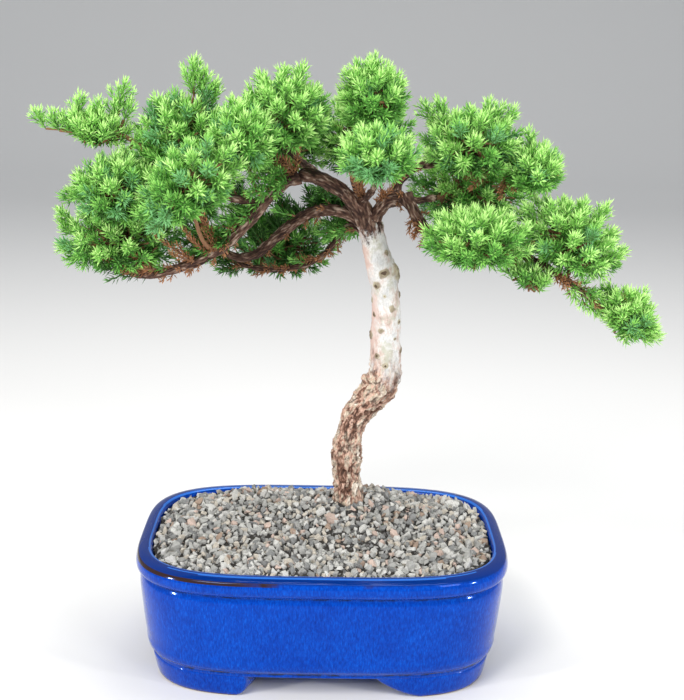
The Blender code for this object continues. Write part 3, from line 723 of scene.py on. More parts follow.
@dataclass
class Pot:
    """Oval-rectangular pot turned from a smooth profile, on four bracket feet."""

    plan_power: float = 3.75
    segments: int = 560
    profile: tuple[Triple, ...] = (
        (60.0, 40.0, 12.0),
        (88.0, 58.8, 12.0),
        (91.6, 62.4, 12.1),
        (93.6, 64.2, 13.0),
        (93.9, 64.4, 14.6),
        (94.5, 65.1, 15.8),
        (95.8, 66.4, 17.4),
        (96.6, 67.2, 20.5),
        (96.7, 67.4, 24.0),
        (97.6, 68.1, 31.0),
        (98.7, 69.2, 42.0),
        (99.5, 70.1, 51.0),
        (99.5, 70.1, 54.6),
        (98.9, 69.6, 57.6),
        (98.0, 69.0, 59.4),
        (98.2, 69.2, 60.3),
        (99.7, 70.8, 61.1),
        (101.0, 72.3, 62.6),
        (101.5, 72.9, 64.6),
        (101.3, 72.8, 66.8),
        (100.8, 72.3, 68.4),
        (100.3, 71.7, 69.4),
        (99.4, 70.6, 70.0),
        (97.6, 68.2, 70.7),
        (95.8, 65.8, 71.0),
        (94.6, 64.4, 70.8),
        (93.8, 63.5, 70.0),
        (93.1, 62.8, 68.4),
        (92.2, 62.1, 60.0),
        (91.0, 61.0, 34.0),
    )
    straight: float = 0.3
    even_plan: tuple[float, float] = (97.0, 68.0)
    rim_plan: tuple[float, float] = (101.5, 73.0)
    worn_edge: tuple[float, float] = (67.8, 69.6)
    worn_from: float = 0.978
    thin_highlight_band: tuple[float, float] = (70.2, 70.95)
    thin_highlight_within: float = 0.935
    bare_below: float = 0.45
    foot_top: float = 13.6
    foot_sizes: tuple[tuple[float, float], tuple[float, float]] = ((94.0, 64.0), (91.2, 61.6))
    foot_thickness: float = 12.0
    foot_gap: float = 0.4
    foot_corner: float = 0.72
    opening_front: tuple[float, float] = (-38.0, 28.0)
    flare_front: tuple[float, float] = (8.0, 26.0)
    bend_front: tuple[float, float] = (2.2, 1.3)
    opening_side: float = 23.0
    flare_side: float = 9.0
    bend_side: float = 2.0

    def plan(self, half_length: float, half_width: float, turn: float) -> tuple[float, float]:
        """Point of the pot's plan at an angle.

        Args:
            half_length: Half its length.
            half_width: Half its width.
            turn: The angle, in radians.

        Returns:
            Its x and y.
        """
        c, s = math.cos(turn), math.sin(turn)
        x = math.copysign(abs(c) ** (2 / self.plan_power), c) * half_length
        y = math.copysign(abs(s) ** (2 / self.plan_power), s) * half_width
        return x, y

    def smooth_profile(self) -> np.ndarray:
        """Rounds the passages between the profile's named steps.

        Returns:
            Rows of half length, half width and height.
        """
        points = np.array(self.profile)
        rows = []
        for a, b, c, d in spans(points):
            for t in (0.0, 0.33, 0.67):
                chord = b * (1 - t) + c * t
                rows.append(self.straight * chord + (1 - self.straight) * spline(a, b, c, d, t))
        return np.array([*rows, points[-1]])

    def turns(self) -> list[float]:
        """Works out the angles that space the points of the plan evenly.

        Returns:
            The angles, in radians.
        """
        fine = [math.tau * k / 7200 for k in range(7201)]
        places = np.array([self.plan(*self.even_plan, t) for t in fine])
        steps = np.concatenate([[0], np.cumsum(np.linalg.norm(np.diff(places, axis=0), axis=1))])
        return list(np.interp(np.linspace(0, steps[-1], self.segments + 1)[:-1], steps, fine))

    @staticmethod
    def around(bm: bmesh.types.BMesh, loop: list[bmesh.types.BMVert]) -> list[bmesh.types.BMEdge]:
        """The edges that join a closed loop of vertices."""
        return [bm.edges.get((a, b)) for a, b in zip(loop, loop[1:] + loop[:1])]

    @staticmethod
    def settle(bm: bmesh.types.BMesh) -> None:
        """Gives the faces an order and first corners that are the same in each run.

        Args:
            bm: The shape, whose faces are made again with the same corners.
        """
        bm.verts.index_update()
        rows = []
        for face in list(bm.faces):
            verts = list(face.verts)
            first = min(range(len(verts)), key=lambda k: verts[k].index)
            rows.append(verts[first:] + verts[:first])
            bm.faces.remove(face)
        for verts in sorted(rows, key=lambda row: [vert.index for vert in row]):
            bm.faces.new(verts)

    def skin(self, rings: list[Ring], closed: bool) -> bmesh.types.BMesh:
        """Skins a stack of rings.

        Args:
            rings: For each ring a function from an angle to a point.
            closed: Whether the last ring joins the first.

        Returns:
            The shape, with its faces pointing outwards.
        """
        bm = bmesh.new()
        loop = bmesh.ops.create_circle(bm, segments=self.segments, radius=1)["verts"]
        loop.sort(key=lambda v: math.atan2(v.co.y, v.co.x) % math.tau)
        angles = self.turns()
        loops = [loop]
        for _ in rings[1:]:
            made = bmesh.ops.extrude_edge_only(bm, edges=self.around(bm, loop))
            fresh = {v for v in made["geom"] if isinstance(v, bmesh.types.BMVert)}
            loop = [next(e.other_vert(v) for e in v.link_edges if e.other_vert(v) in fresh) for v in loop]
            loops.append(loop)
        for ring, verts in zip(rings, loops):
            for vert, turn in zip(verts, angles):
                vert.co = ring(turn)
        if closed:
            bmesh.ops.bridge_loops(bm, edges=self.around(bm, loops[0]) + self.around(bm, loops[-1]))
        else:
            bmesh.ops.contextual_create(bm, geom=loops[0])
            bmesh.ops.contextual_create(bm, geom=loops[-1])
        bmesh.ops.recalc_face_normals(bm, faces=bm.faces)
        self.settle(bm)
        return bm

    def foot_bottom(self, x: float, y: float) -> float:
        """Height of the feet's lower edge: on the ground at the corners, up in the openings.

        Args:
            x: Place along the pot.
            y: Place across the pot.

        Returns:
            The height.
        """
        top = self.foot_top - self.foot_gap
        if abs(y) / self.foot_sizes[1][1] > self.foot_corner:
            left, right = self.opening_front
            side = 0 if x < 0 else 1
            away, flare, bend = (left - x, x - right)[side], self.flare_front[side], self.bend_front[side]
        elif abs(x) / self.foot_sizes[1][0] < self.foot_corner:
            return top
        else:
            away, flare, bend = abs(y) - self.opening_side, self.flare_side, self.bend_side
        share = min(1.0, max(0.0, away / flare))
        return top * (1 - (1 - (1 - share) ** bend) ** (1 / bend))

    def reach(self, point: Vector) -> float:
        """How far out a point lies, as a share of the rim's outline."""
        along, across = (abs(v) / half for v, half in zip(point, self.rim_plan))
        return (along**self.plan_power + across**self.plan_power) ** (1 / self.plan_power)

    def body_ring(self, half_length: float, half_width: float, z: float) -> Ring:
        """One level ring of the body."""
        return lambda turn: Vector((*self.plan(half_length, half_width, turn), z))

    def foot_ring(self, size: tuple[float, float], inset: float, share: float) -> Ring:
        """One ring of the feet.

        Args:
            size: Half the length and half the width.
            inset: How far inside them it runs.
            share: Share of the way up from the feet's lower edge to their top.

        Returns:
            The ring.
        """
        half = [side - inset for side in size]
        low = self.foot_sizes[1]

        def at(turn: float) -> Vector:
            """Point of the ring at an angle."""
            bottom = self.foot_bottom(*self.plan(*low, turn))
            return Vector((*self.plan(*half, turn), bottom + (self.foot_top - bottom) * share))

        return at

    def body(self) -> bpy.types.Mesh:
        """Makes the walls, rim and floor, and gives each face its finish.

        Returns:
            The mesh.
        """
        bm = self.skin([self.body_ring(*ring) for ring in self.smooth_profile()], closed=False)
        for face in bm.faces:
            middle = face.calc_center_median()
            out = self.reach(middle)
            worn = self.worn_edge[0] < middle.z < self.worn_edge[1] and len(face.verts) == 4
            thin = self.thin_highlight_band[0] < middle.z < self.thin_highlight_band[1]
            if worn and out > self.worn_from:
                face.material_index = PotFinish.BREAK.value
            # The ring along the rim's inner edge: a painted highlight, where the glaze also thins.
            elif thin and out < self.thin_highlight_within:
                face.material_index = PotFinish.THIN.value
        return mesh_from_bmesh("pot_body", bm)

    def feet(self) -> bpy.types.Mesh:
        """Makes the band that dips to the ground in four feet.

        Returns:
            The mesh.
        """
        top, low = self.foot_sizes
        thick = self.foot_thickness
        rings = (
            (top, thick, 1.0),
            (top, 0.0, 1.0),
            (top, 0.3, 0.8),
            (top, 1.1, 0.5),
            (low, -0.9, 0.2),
            (low, -0.3, 0.06),
            (low, 0.6, 0.0),
            (low, thick - 0.8, 0.0),
            (low, thick, 0.08),
        )
        bm = self.skin([self.foot_ring(*ring) for ring in rings], closed=True)
        for face in bm.faces:
            if face.calc_center_median().z < self.bare_below:
                face.material_index = PotFinish.CLAY.value
        return mesh_from_bmesh("pot_feet", bm)

    def build(self) -> bpy.types.Object:
        """Body and feet as one piece.

        Returns:
            The pot.
        """
        joined = bmesh.new()
        for part in (self.body(), self.feet()):
            joined.from_mesh(part)
            bpy.data.meshes.remove(part)
        mesh = bpy.data.meshes.new("glazed_pot")
        joined.to_mesh(mesh)
        joined.free()
        finishes = {
            PotFinish.GLAZE: GLAZE,
            PotFinish.BREAK: GLAZE_BREAK,
            PotFinish.CLAY: BARE_CLAY,
            PotFinish.THIN: THIN_GLAZE_HIGHLIGHT,
        }
        for place in PotFinish:
            mesh.materials.append(finishes[place].material())
        return link("glazed_pot", mesh, ("pot",))


@dataclass
class GravelBed:
    """Loose crushed rock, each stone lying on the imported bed."""

    half_length: float = 93.0
    half_width: float = 62.9
    plan_power: float = 3.75
    highest_edge: float = 69.4
    trunk: Triple = (14.0, 28.0, 8.6)
    shapes: int = 24
    layers: tuple[Triple, ...] = ((2.8, -1.0, 4.4), (3.3, -0.3, 5.2), (4.7, 0.9, 5.9))
    scatter: float = 0.36
    big_share: float = 0.035
    big_size: float = 1.5
    sunk_beyond: float = 0.86
    sunk: float = 0.7
    buried_below: float = -0.5
    drop_from: float = 130.0

    def chips(self, rng: np.random.Generator) -> list[tuple[np.ndarray, np.ndarray]]:
        """A handful of differently broken stones, each about one unit long.

        Args:
            rng: Source of chance.

        Returns:
            For each its vertices and its triangles.
        """
        made = []
        for _ in range(self.shapes):
            bm = bmesh.new()
            for point in unit(rng.normal(size=(10, 3))) * rng.uniform(0.86, 1.0, (10, 1)):
                bm.verts.new(Vector(point) * 0.5)
            hull = bmesh.ops.convex_hull(bm, input=bm.verts)
            spare = [g for g in hull["geom_interior"] if isinstance(g, bmesh.types.BMVert)]
            bmesh.ops.delete(bm, geom=spare, context="VERTS")
            bmesh.ops.scale(bm, vec=(1.0, rng.uniform(0.6, 0.9), rng.uniform(0.5, 0.78)), verts=bm.verts)
            made.append(shape_arrays(bm))
        return made

    def spots(self, rng: np.random.Generator) -> list[tuple[float, float, float, float, bool]]:
        """Where the stones lie.

        Args:
            rng: Source of chance.

        Returns:
            Place, lift above the bed and length of each, and whether it lies in the lowest layer.
        """
        found = []
        tx, ty, tr = self.trunk
        for spacing, lift, size in self.layers:
            for n, row in enumerate(np.arange(-self.half_width, self.half_width, spacing * 0.87)):
                for x in np.arange(-self.half_length, self.half_length, spacing) + (n % 2) * spacing / 2:
                    px = x + rng.uniform(-self.scatter, self.scatter) * spacing
                    py = row + rng.uniform(-self.scatter, self.scatter) * spacing
                    length = size * rng.uniform(0.76, 1.26)
                    length *= self.big_size if rng.random() < self.big_share else 1.0
                    edge = (abs(px) / (self.half_length - length * 0.2)) ** self.plan_power
                    edge += (abs(py) / (self.half_width - length * 0.2)) ** self.plan_power
                    if edge < 1 and math.hypot(px - tx, py - ty) > tr + length * 0.3:
                        lower = self.sunk if edge > self.sunk_beyond else 0.0
                        found.append((px, py, lift - lower, length, lift < self.buried_below))
        return found

    def build(self) -> bpy.types.Object:
        """Drops the stones on the bed.

        Returns:
            The stones as one piece.
        """
        rng = np.random.default_rng(SEED)
        chips = self.chips(rng)
        weights = np.array([stone.value[1] for stone in Stone], float)
        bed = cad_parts["gravel_bed"]
        bm = bmesh.new()
        bm.from_mesh(bed.data)
        ground = BVHTree.FromBMesh(bm)
        bm.free()
        all_verts, all_faces, all_tones = [], [], []
        start = 0
        for px, py, lift, length, buried in self.spots(rng):
            above = Vector((np.array([px, py, self.drop_from]) + PLANT_SHIFT) * MM)
            hit = ground.ray_cast(above, Vector((0, 0, -1)))[0]
            z = (hit.z / MM if hit else self.highest_edge) + lift + rng.uniform(-0.35, 0.35)
            verts, faces = chips[rng.integers(len(chips))]
            turn = Matrix.Rotation(rng.uniform(0, math.tau), 3, "Z")
            turn = turn @ Matrix.Rotation(rng.uniform(-0.55, 0.55), 3, "X")
            turn = turn @ Matrix.Rotation(rng.uniform(0, math.tau), 3, "Y")
            all_verts.append(verts @ np.array(turn).T * length + np.array([px, py, z]))
            all_faces.append(faces + start)
            # Stones of the lowest layer get the SHADED tone: painted shade between the stones above them.
            tone = 0 if buried else rng.choice(len(weights), p=weights / weights.sum())
            all_tones.append(np.full(len(faces), tone))
            start += len(verts)
        mesh = mesh_from_arrays(
            "loose_gravel", np.vstack(all_verts), np.vstack(all_faces), np.concatenate(all_tones)
        )
        for stone in Stone:
            mesh.materials.append(stone.finish.material())
        # The bed shows only in the gaps between stones; its dark grit is painted shade.
        bed.data.materials.clear()
        bed.data.materials.append(GAP_SHADE_GRIT.material())
        return link("loose_gravel", mesh)


# ---------------------------------------------------------------- trunk and boughs


def drift(place: Vector) -> Vector:
    """A smooth random vector that is the same in each run.

    Args:
        place: Where it is wanted.

    Returns:
        The vector, each part from about -0.8 to 0.8.
    """
    before, after = place + Vector((9.3, 1.5, 7.9)), place - Vector((6.2, 1.1, 3.2))
    return Vector((noise.noise(before), noise.noise(place), noise.noise(after)))


def clamp(value: float) -> float:
    """A value kept between nought and one."""
    return min(1.0, max(0.0, value))


Relief = tuple[float, Triple]


class Bark(Enum):
    """Kinds of bark relief."""

    FLAKY = "flaky"
    STRINGY = "stringy"


@dataclass
class Limb:
    """A trunk or bough with bark standing in relief."""

    node: str
    line: Line
    bark: Bark = Bark.STRINGY
    sides: int = 36
    step: float = 0.75
    relief: float = 0.6
    root_flare: float = 0.35
    plates: tuple[tuple[float, float], ...] = ((0.26, 0.75), (0.5, 1.1), (1.1, 0.35))
    flaky_to: tuple[float, float] = (150.0, 26.0)
    flaky_again: tuple[float, float] = (242.0, 8.0)
    stands_for_node: bool = True
    path: np.ndarray = field(init=False)

    def __post_init__(self) -> None:
        """Works out the even path."""
        rough = catmull(self.line, 40)
        length = np.linalg.norm(np.diff(rough[:, :3], axis=0), axis=1).sum()
        self.path = catmull(self.line, max(12, int(length / self.step)))

    @staticmethod
    def knots(turn: float, z: float, radius: float) -> tuple[float, float]:
        """Warts and old branch scars.

        Args:
            turn: Angle round the trunk, from the front towards the right.
            z: Height in millimetres.
            radius: Radius of the trunk there.

        Returns:
            How far the bark stands out, and how dark it is: up to a half for the ring, one for the hole.
        """
        height, dark = 0.0, 0.0
        round_it = Vector((math.sin(turn), math.cos(turn), 0)) * radius * 0.5
        ragged = 0.5 * noise.noise(round_it + Vector((0, 0, z * 0.5)))
        for angle, at, size, stand, hole in KNOTS:
            across = (turn - math.radians(angle) + math.pi) % math.tau - math.pi
            away = math.hypot(across * radius, z - at) / size + ragged
            if away > 1.3:
                continue
            swell = max(0.0, 1 - (away / 1.3) ** 2) ** 1.5
            pit = max(0.0, 1 - (away / 0.5) ** 2) if hole else 0.0
            height += stand * (swell - 0.9 * pit)
            dark = max(dark, 0.45 * max(0.0, 1.25 - away) ** 0.5, 0.5 + 0.5 * min(1.0, pit * 2) if pit else 0)
        return height, dark

    def flaky(self, place: Vector, turn: float, z: float, radius: float) -> Relief:
        """Relief of the trunk: lifted plates low down, smooth with knots higher up.

        Args:
            place: Where on the limb, unrolled round it.
            turn: Angle round it, from the front towards the right.
            z: Height in millimetres.
            radius: Its radius there.

        Returns:
            The height of the relief and its three attribute values.
        """
        bent = place + drift(place * 0.2) * 1.7
        height, tint, crack = 0.9 * noise.noise(place * 0.13), 0.0, 0.0
        for scale, weight in self.plates:
            at = Vector((bent.x, bent.y, bent.z * 0.32)) * scale
            far, cells = noise.voronoi(at)
            dealt = drift(cells[0] * 7.7 + Vector((scale, 0, 0)) * 40)
            height += weight * (0.5 * dealt.z + 1.7 * (at - cells[0]).dot(dealt))
            tint += weight * dealt.x
            open_here = clamp(noise.noise(bent * 0.32 + Vector((scale, 5, 9)) * 20) * 4)
            crack = max(crack, (1 - min(1.0, (far[1] - far[0]) * 5)) * open_here)
        fibre = noise.noise(Vector((place.x * 1.7, place.y * 1.7, place.z * 0.45)))
        height += 0.25 * fibre
        tint = 0.46 + 0.55 * tint + 0.3 * fibre + 0.16 * height
        ripple = noise.noise(Vector((place.x, place.y, place.z * 1.6)) * 0.6)
        smooth = 0.5 * noise.noise(place * 0.16) + 0.22 * ripple
        share = clamp((z + 14 * noise.noise(place * 0.15) - self.flaky_to[0]) / self.flaky_to[1])
        share *= clamp((self.flaky_again[0] - z) / self.flaky_again[1])
        stand, dark = self.knots(turn, z, radius)
        height = (1 - share) * (height * 1.2 - 0.6 * crack) + share * smooth + stand
        return height, (crack * (1 - 0.7 * share), dark, clamp(tint))

    @staticmethod
    def stringy(place: Vector) -> Relief:
        """Relief of a bough: long strips that twist a little round it.

        Args:
            place: Where on the limb, unrolled round it.

        Returns:
            The height of the relief and its three attribute values.
        """
        far, cells = noise.voronoi(Vector((place.x, place.y, place.z * 0.2)) * 0.66)
        edge = min(1.0, (far[1] - far[0]) * 2.0)
        cell = 0.5 + 0.5 * noise.noise(cells[0] * 6.3)
        lumps = noise.noise(place * 0.2)
        open_here = clamp(0.35 + noise.noise(place * 0.3) * 2.5)
        fine = noise.noise(Vector((place.x, place.y, place.z * 0.16)) * 2.3)
        height = (0.3 + cell) * edge**0.7 - 0.45 + 1.0 * lumps + 0.45 * fine
        shade = clamp(cell * 0.75 + 0.25 * lumps + 0.6 * fine + 0.1)
        return height, (max(0.0, 1 - edge * 3) * open_here, 0.0, shade)

    def build(self) -> bpy.types.Object:
        """Wraps a fine grid round the path and lifts it into bark.

        Returns:
            The limb.
        """
        path = self.path
        rings, sides = len(path), self.sides
        axes = unit(np.gradient(path[:, :3], axis=0))
        side = unit(np.cross(axes[0], [0.31, 0.9, 0.3]))
        bm = bmesh.new()
        grid = bmesh.ops.create_grid(bm, x_segments=sides, y_segments=rings - 1, size=1)["verts"]
        values = {}
        along = np.concatenate([[0.0], np.cumsum(np.linalg.norm(np.diff(path[:, :3], axis=0), axis=1))])
        frames = []
        for axis in axes:
            side = unit(side - axis * side.dot(axis))
            frames.append((side, np.cross(axis, side)))
        for vert in grid:
            u = round((vert.co.x + 1) / 2 * sides)
            v = round((vert.co.y + 1) / 2 * (rings - 1))
            turn = math.tau * (u % sides) / sides
            radius = path[v][3]
            place = Vector((math.cos(turn) * radius, math.sin(turn) * radius, along[v]))
            place += Vector((7.1, 3.3, 0)) * len(self.node)
            first, second = frames[v]
            out = first * math.cos(turn) + second * math.sin(turn)
            if self.bark is Bark.FLAKY:
                height, colour = self.flaky(place, math.atan2(out[0], -out[1]), path[v][2], radius)
            else:
                height, colour = self.stringy(place)
            end = min(1.0, (along[-1] - along[v]) / (1.3 * radius))
            radius *= 1 + self.root_flare * math.exp(-along[v] / 4)
            far = radius * (0.25 + 0.75 * math.sqrt(max(0.0, 1 - (1 - end) ** 2))) + height * self.relief
            vert.co = Vector(path[v][:3] + out * far)
            values[vert] = colour
        colours = [values[v] for v in bm.verts]
        layer = bm.verts.layers.float_color.new("relief")
        for vert, colour in zip(bm.verts, colours):
            vert[layer] = (*colour, 1.0)
        bmesh.ops.remove_doubles(bm, verts=bm.verts, dist=0.0005)
        bmesh.ops.holes_fill(bm, edges=[e for e in bm.edges if e.is_boundary], sides=0)
        bmesh.ops.recalc_face_normals(bm, faces=bm.faces)
        mesh = mesh_from_bmesh(self.node + "_bark", bm)
        mesh.materials.append((TRUNK_BARK if self.bark is Bark.FLAKY else BOUGH_BARK).material())
        return link(self.node + "_bark", mesh, (self.node,) if self.stands_for_node else ())


TRUNK_LINE: Line = (
    (14, 28, 76.5, 9.4),
    (14, 28, 83, 8.3),
    (13, 28, 95, 7.6),
    (13, 28, 107, 8.4),
    (15, 27, 120, 7.6),
    (19, 26, 131, 7.8),
    (26, 24.5, 141, 9.0),
    (32, 23.5, 150, 9.4),
    (33.5, 22, 163, 8.7),
    (33, 21, 176, 8.3),
    (33, 19, 190, 8.0),
    (32, 17.5, 204, 7.5),
    (29, 15.5, 217, 7.6),
    (25.5, 13.5, 230, 6.8),
    (22.5, 12.2, 241, 6.4),
    (21, 12, 249, 5.6),
)
STUB_LINE: Line = ((27, 24, 143, 4.4), (24, 23, 149, 3.1), (21.2, 22.3, 155, 1.7))
# Warts and scars of the trunk: angle from the front towards the right, height, size, how far they
# stand out, and whether they have a hole.
KNOTS: tuple[tuple[float, float, float, float, bool], ...] = (
    (11, 216.3, 2.6, 0.7, True), (-32, 210.1, 2.3, 0.7, True), (-5, 203.6, 1.0, 0.15, True),
    (23, 196.0, 1.7, 0.45, False), (-21, 183.8, 1.5, 0.5, True), (-80, 179.3, 2.4, 0.9, True),
    (37, 178.6, 1.0, 0.3, True), (-36, 168.5, 1.7, 0.6, True), (-3, 163.4, 1.6, 0.6, True),
    (86, 214.0, 5.0, 2.3, False), (84, 202.0, 2.0, 0.9, False), (-84, 200.0, 1.6, 0.6, False),
    (48, 226.0, 1.6, 0.5, False), (60, 188.0, 1.5, 0.6, True), (-58, 192.0, 1.3, 0.4, True),
    (135, 222.0, 2.4, 0.8, True), (200, 213.0, 2.8, 0.9, True), (160, 197.0, 2.0, 0.6, False),
    (232, 189.0, 2.4, 0.8, True), (180, 176.0, 1.8, 0.6, True), (118, 171.0, 1.8, 0.6, True),
    (-122, 206.0, 2.2, 0.7, True), (218, 228.0, 2.0, 0.6, False), (85, 170.0, 2.2, 0.8, False),
)
BOUGH_LINES: dict[str, Line] = {
    "bough_upper_left_rise": (
        (20, 12, 243, 3.6), (15, 10, 251, 4.0), (9, 7, 258, 3.9), (2, 3.5, 263.5, 3.8),
        (-7, 0, 268, 3.8), (-16, -3, 269.5, 3.9),
    ),
    "bough_upper_left_fall": (
        (-16.5, -3.2, 269.3, 3.9), (-23, -4.6, 265.8, 3.6), (-32, -6.5, 257, 3.4), (-41, -8.5, 246, 3.1),
        (-52, -10, 234, 2.9), (-64, -10.5, 226, 2.7), (-78, -9, 220, 2.5), (-92, -6.5, 215.5, 2.2),
        (-102, -4.5, 215, 1.9),
    ),
    "bough_middle_left": (
        (22, 13, 239, 3.0), (12, 14, 246.5, 3.4), (2, 15, 248.5, 3.3), (-8, 17.5, 247, 3.1),
        (-18, 20, 241, 3.0), (-28, 23, 232, 2.8), (-38, 26, 222.5, 2.6), (-50, 30, 219, 2.3),
        (-62, 36, 224, 2.0), (-71, 41, 233, 1.8),
    ),
    "bough_lower_left": (
        (24, 15, 234, 1.9), (13, 20, 239.5, 1.9), (6.5, 25.5, 233.5, 1.8), (0, 30.5, 223.5, 1.7),
        (-9, 34, 216.3, 1.7), (-20, 36.5, 212.5, 1.6), (-32, 38.5, 210.8, 1.5), (-44, 40.5, 211.8, 1.4),
        (-53, 42, 214, 1.3),
    ),
    "bough_leader": (
        (21, 12, 247, 3.0), (17.5, 10, 256, 2.8), (14.5, 8, 264, 2.6), (13, 6.5, 272, 2.3),
        (14.5, 5.5, 281, 2.0),
    ),
    "bough_right_elbow": (
        (23, 12, 242, 3.2), (28, 9.5, 251, 3.6), (33.5, 6.5, 257, 3.5), (40, 3, 258.6, 3.4),
    ),
    "bough_cascade": (
        (40.4, 2.8, 258.4, 3.3), (45, -1.5, 251, 3.0), (51.5, -5, 242, 2.8), (62, -8, 237.3, 2.6),
        (76, -10.5, 235, 2.4), (92, -12.5, 232, 2.2), (106, -13.5, 229, 2.0), (120, -14.2, 221.5, 1.8),
        (134, -15, 212, 1.6), (143, -15, 205, 1.4),
    ),
    "bough_right_upper": (
        (35, 5.8, 257.5, 2.2), (39, 9, 267, 2.2), (49, 12, 273.5, 2.1), (63, 12, 275, 1.9),
        (78, 9, 273.5, 1.7), (92, 5, 274, 1.5),
    ),
    "bough_left_shelf": (
        (-34, -7, 254.5, 2.0), (-43, -11, 256, 2.1), (-55, -14.5, 259, 2.0), (-69, -16.5, 263.5, 1.9),
        (-82, -16, 271, 1.7), (-93, -14.5, 281, 1.5),
    ),
    "bough_crown_left": (
        (-20, -4, 267.5, 1.8), (-24.5, -4.8, 275.5, 1.7), (-26, -5.5, 284, 1.5),
    ),
    "bough_front": (
        (18, 10.5, 255, 1.9), (20.5, 1, 258, 1.9), (23, -9, 263.5, 1.7), (24, -18, 269, 1.5),
    ),
    "bough_back": (
        (16, 9, 260, 2.1), (15.5, 19, 264.5, 2.1), (16.5, 31, 270, 2.0), (18, 43, 277, 1.7),
    ),
    "bough_back_left": (
        (-4, 1.5, 266.5, 2.1), (-9.5, 13, 270.5, 2.0), (-16.5, 25, 274, 1.9), (-23, 37, 278.5, 1.6),
    ),
    "bough_back_right": (
        (29, 9.5, 252.5, 2.4), (37, 21, 252.5, 2.3), (48, 33, 252, 2.1), (60, 43, 252.5, 1.8),
    ),
}


# ---------------------------------------------------------------- foliage


@dataclass
class Sprig:
    """One shoot: a curved stalk with whorls of three needles."""

    root: np.ndarray
    bend: np.ndarray
    tip: np.ndarray
    needle: float
    tone: Tone
    tip_tone: Tone
    roll: float
    woody: bool = False

    def points(self, shares: np.ndarray) -> tuple[np.ndarray, np.ndarray]:
        """Places and directions along the stalk.

        Args:
            shares: Shares of the way from root to tip.

        Returns:
            The places and the unit directions.
        """
        t = shares[:, None]
        place = self.root * (1 - t) ** 2 + self.bend * 2 * t * (1 - t) + self.tip * t**2
        ahead = (self.bend - self.root) * (1 - t) + (self.tip - self.bend) * t
        return place, unit(ahead)


@dataclass
class Needles:
    """Turns sprigs into joined meshes of needles and of stalks."""

    spacing: float = 1.6
    width: float = 1.25
    thickness: float = 0.5
    lean: tuple[float, float] = (50.0, 16.0)
    lean_spread: float = 0.13
    turn_spread: float = 0.22
    upturn: float = 0.12
    widest: float = 0.36
    tips_from: float = 0.78

    def blade(self) -> tuple[np.ndarray, np.ndarray]:
        """Shapes one needle along +Z, a unit long, pointed at both ends and widest below its middle.

        Returns:
            Its vertices and its triangles.
        """
        bm = bmesh.new()
        bmesh.ops.create_uvsphere(bm, u_segments=3, v_segments=2, radius=1)
        for vert in bm.verts:
            if vert.co.z > 0.5:
                vert.co = (0, 0, 1)
            elif vert.co.z < -0.5:
                vert.co = (0, 0, 0)
            else:
                vert.co.z = self.widest
        return shape_arrays(bm)

    def needle_arrays(self, sprigs: list[Sprig], rng: np.random.Generator) -> tuple[np.ndarray, ...]:
        """Every needle of the sprigs.

        Args:
            sprigs: The shoots.
            rng: Source of their small differences.

        Returns:
            Vertices, triangles and tone of each triangle.
        """
        verts, faces = self.blade()
        places, heads, sides, sizes, tones = [], [], [], [], []
        for sprig in sprigs:
            length = np.linalg.norm(sprig.tip - sprig.root)
            count = max(3, int(length / self.spacing))
            shares = (np.arange(count) + 0.5) / count
            place, axis = sprig.points(shares)
            first, second = side_frames(axis)
            for k in range(3):
                turn = sprig.roll + np.arange(count) * math.pi / 3 + k * math.tau / 3
                turn = turn + rng.normal(0, self.turn_spread, count)
                out = first * np.cos(turn)[:, None] + second * np.sin(turn)[:, None]
                lean = np.radians(self.lean[0] + (self.lean[1] - self.lean[0]) * shares**2.5)
                lean = (lean + rng.normal(0, self.lean_spread, count))[:, None]
                head = unit(axis * np.cos(lean) + out * np.sin(lean) + np.array([0, 0, self.upturn]))
                size = sprig.needle * (0.86 + 0.3 * shares - 0.62 * shares**3)
                size = size * rng.uniform(0.82, 1.14, count)
                places.append(place + out * 0.3)
                heads.append(head)
                sides.append(unit(np.cross(head, out)))
                sizes.append(size)
                tones.append(np.where(shares > self.tips_from, sprig.tip_tone.number, sprig.tone.number))
        place, head, side = np.vstack(places), np.vstack(heads), np.vstack(sides)
        size, tone = np.concatenate(sizes), np.concatenate(tones)
        up = np.cross(head, side)
        wide = self.width * (0.75 + 0.25 * size / 7.0)
        out = place[:, None, :] + head[:, None, :] * (verts[None, :, 2:3] * size[:, None, None])
        out += side[:, None, :] * (verts[None, :, 0:1] * wide[:, None, None] * 0.5)
        out += up[:, None, :] * (verts[None, :, 1:2] * self.thickness * 0.5)
        numbers = faces[None] + np.arange(len(size))[:, None, None] * len(verts)
        return out.reshape(-1, 3), numbers.reshape(-1, 3), np.repeat(tone, len(faces))

    @staticmethod
    def rods(parts: list[Rod], sides: int) -> tuple[np.ndarray, ...]:
        """Many thin tapering rods.

        Args:
            parts: For each its two ends, two radii and material number.
            sides: How many sides each has.

        Returns:
            Vertices, quads and the material of each quad.
        """
        start = np.array([p[0] for p in parts])
        end = np.array([p[1] for p in parts])
        thick = np.array([[p[2], p[3]] for p in parts])
        axis = unit(end - start)
        first, second = side_frames(axis)
        turn = np.arange(sides) * math.tau / sides
        cosine, sine = np.cos(turn)[None, :, None], np.sin(turn)[None, :, None]
        ring = first[:, None] * cosine + second[:, None] * sine
        low = start[:, None] + ring * thick[:, 0, None, None]
        high = end[:, None] + ring * thick[:, 1, None, None]
        verts = np.concatenate([low, high], axis=1)
        quad = np.array([[k, (k + 1) % sides, (k + 1) % sides + sides, k + sides] for k in range(sides)])
        faces = quad[None] + np.arange(len(parts))[:, None, None] * sides * 2
        return verts.reshape(-1, 3), faces.reshape(-1, 4), np.repeat([p[4] for p in parts], sides)


@dataclass
class Mass:
    """One foliage mass: the space it may fill, the limb it springs from and its leading tips."""

    centre: Triple
    radii: Triple
    limb: str
    along: float
    tips: tuple[Triple, ...] = ()
    tilt: float = 0.0
    shoots: int = 14
    blue: float = 0.08
    bright: float = 0.0


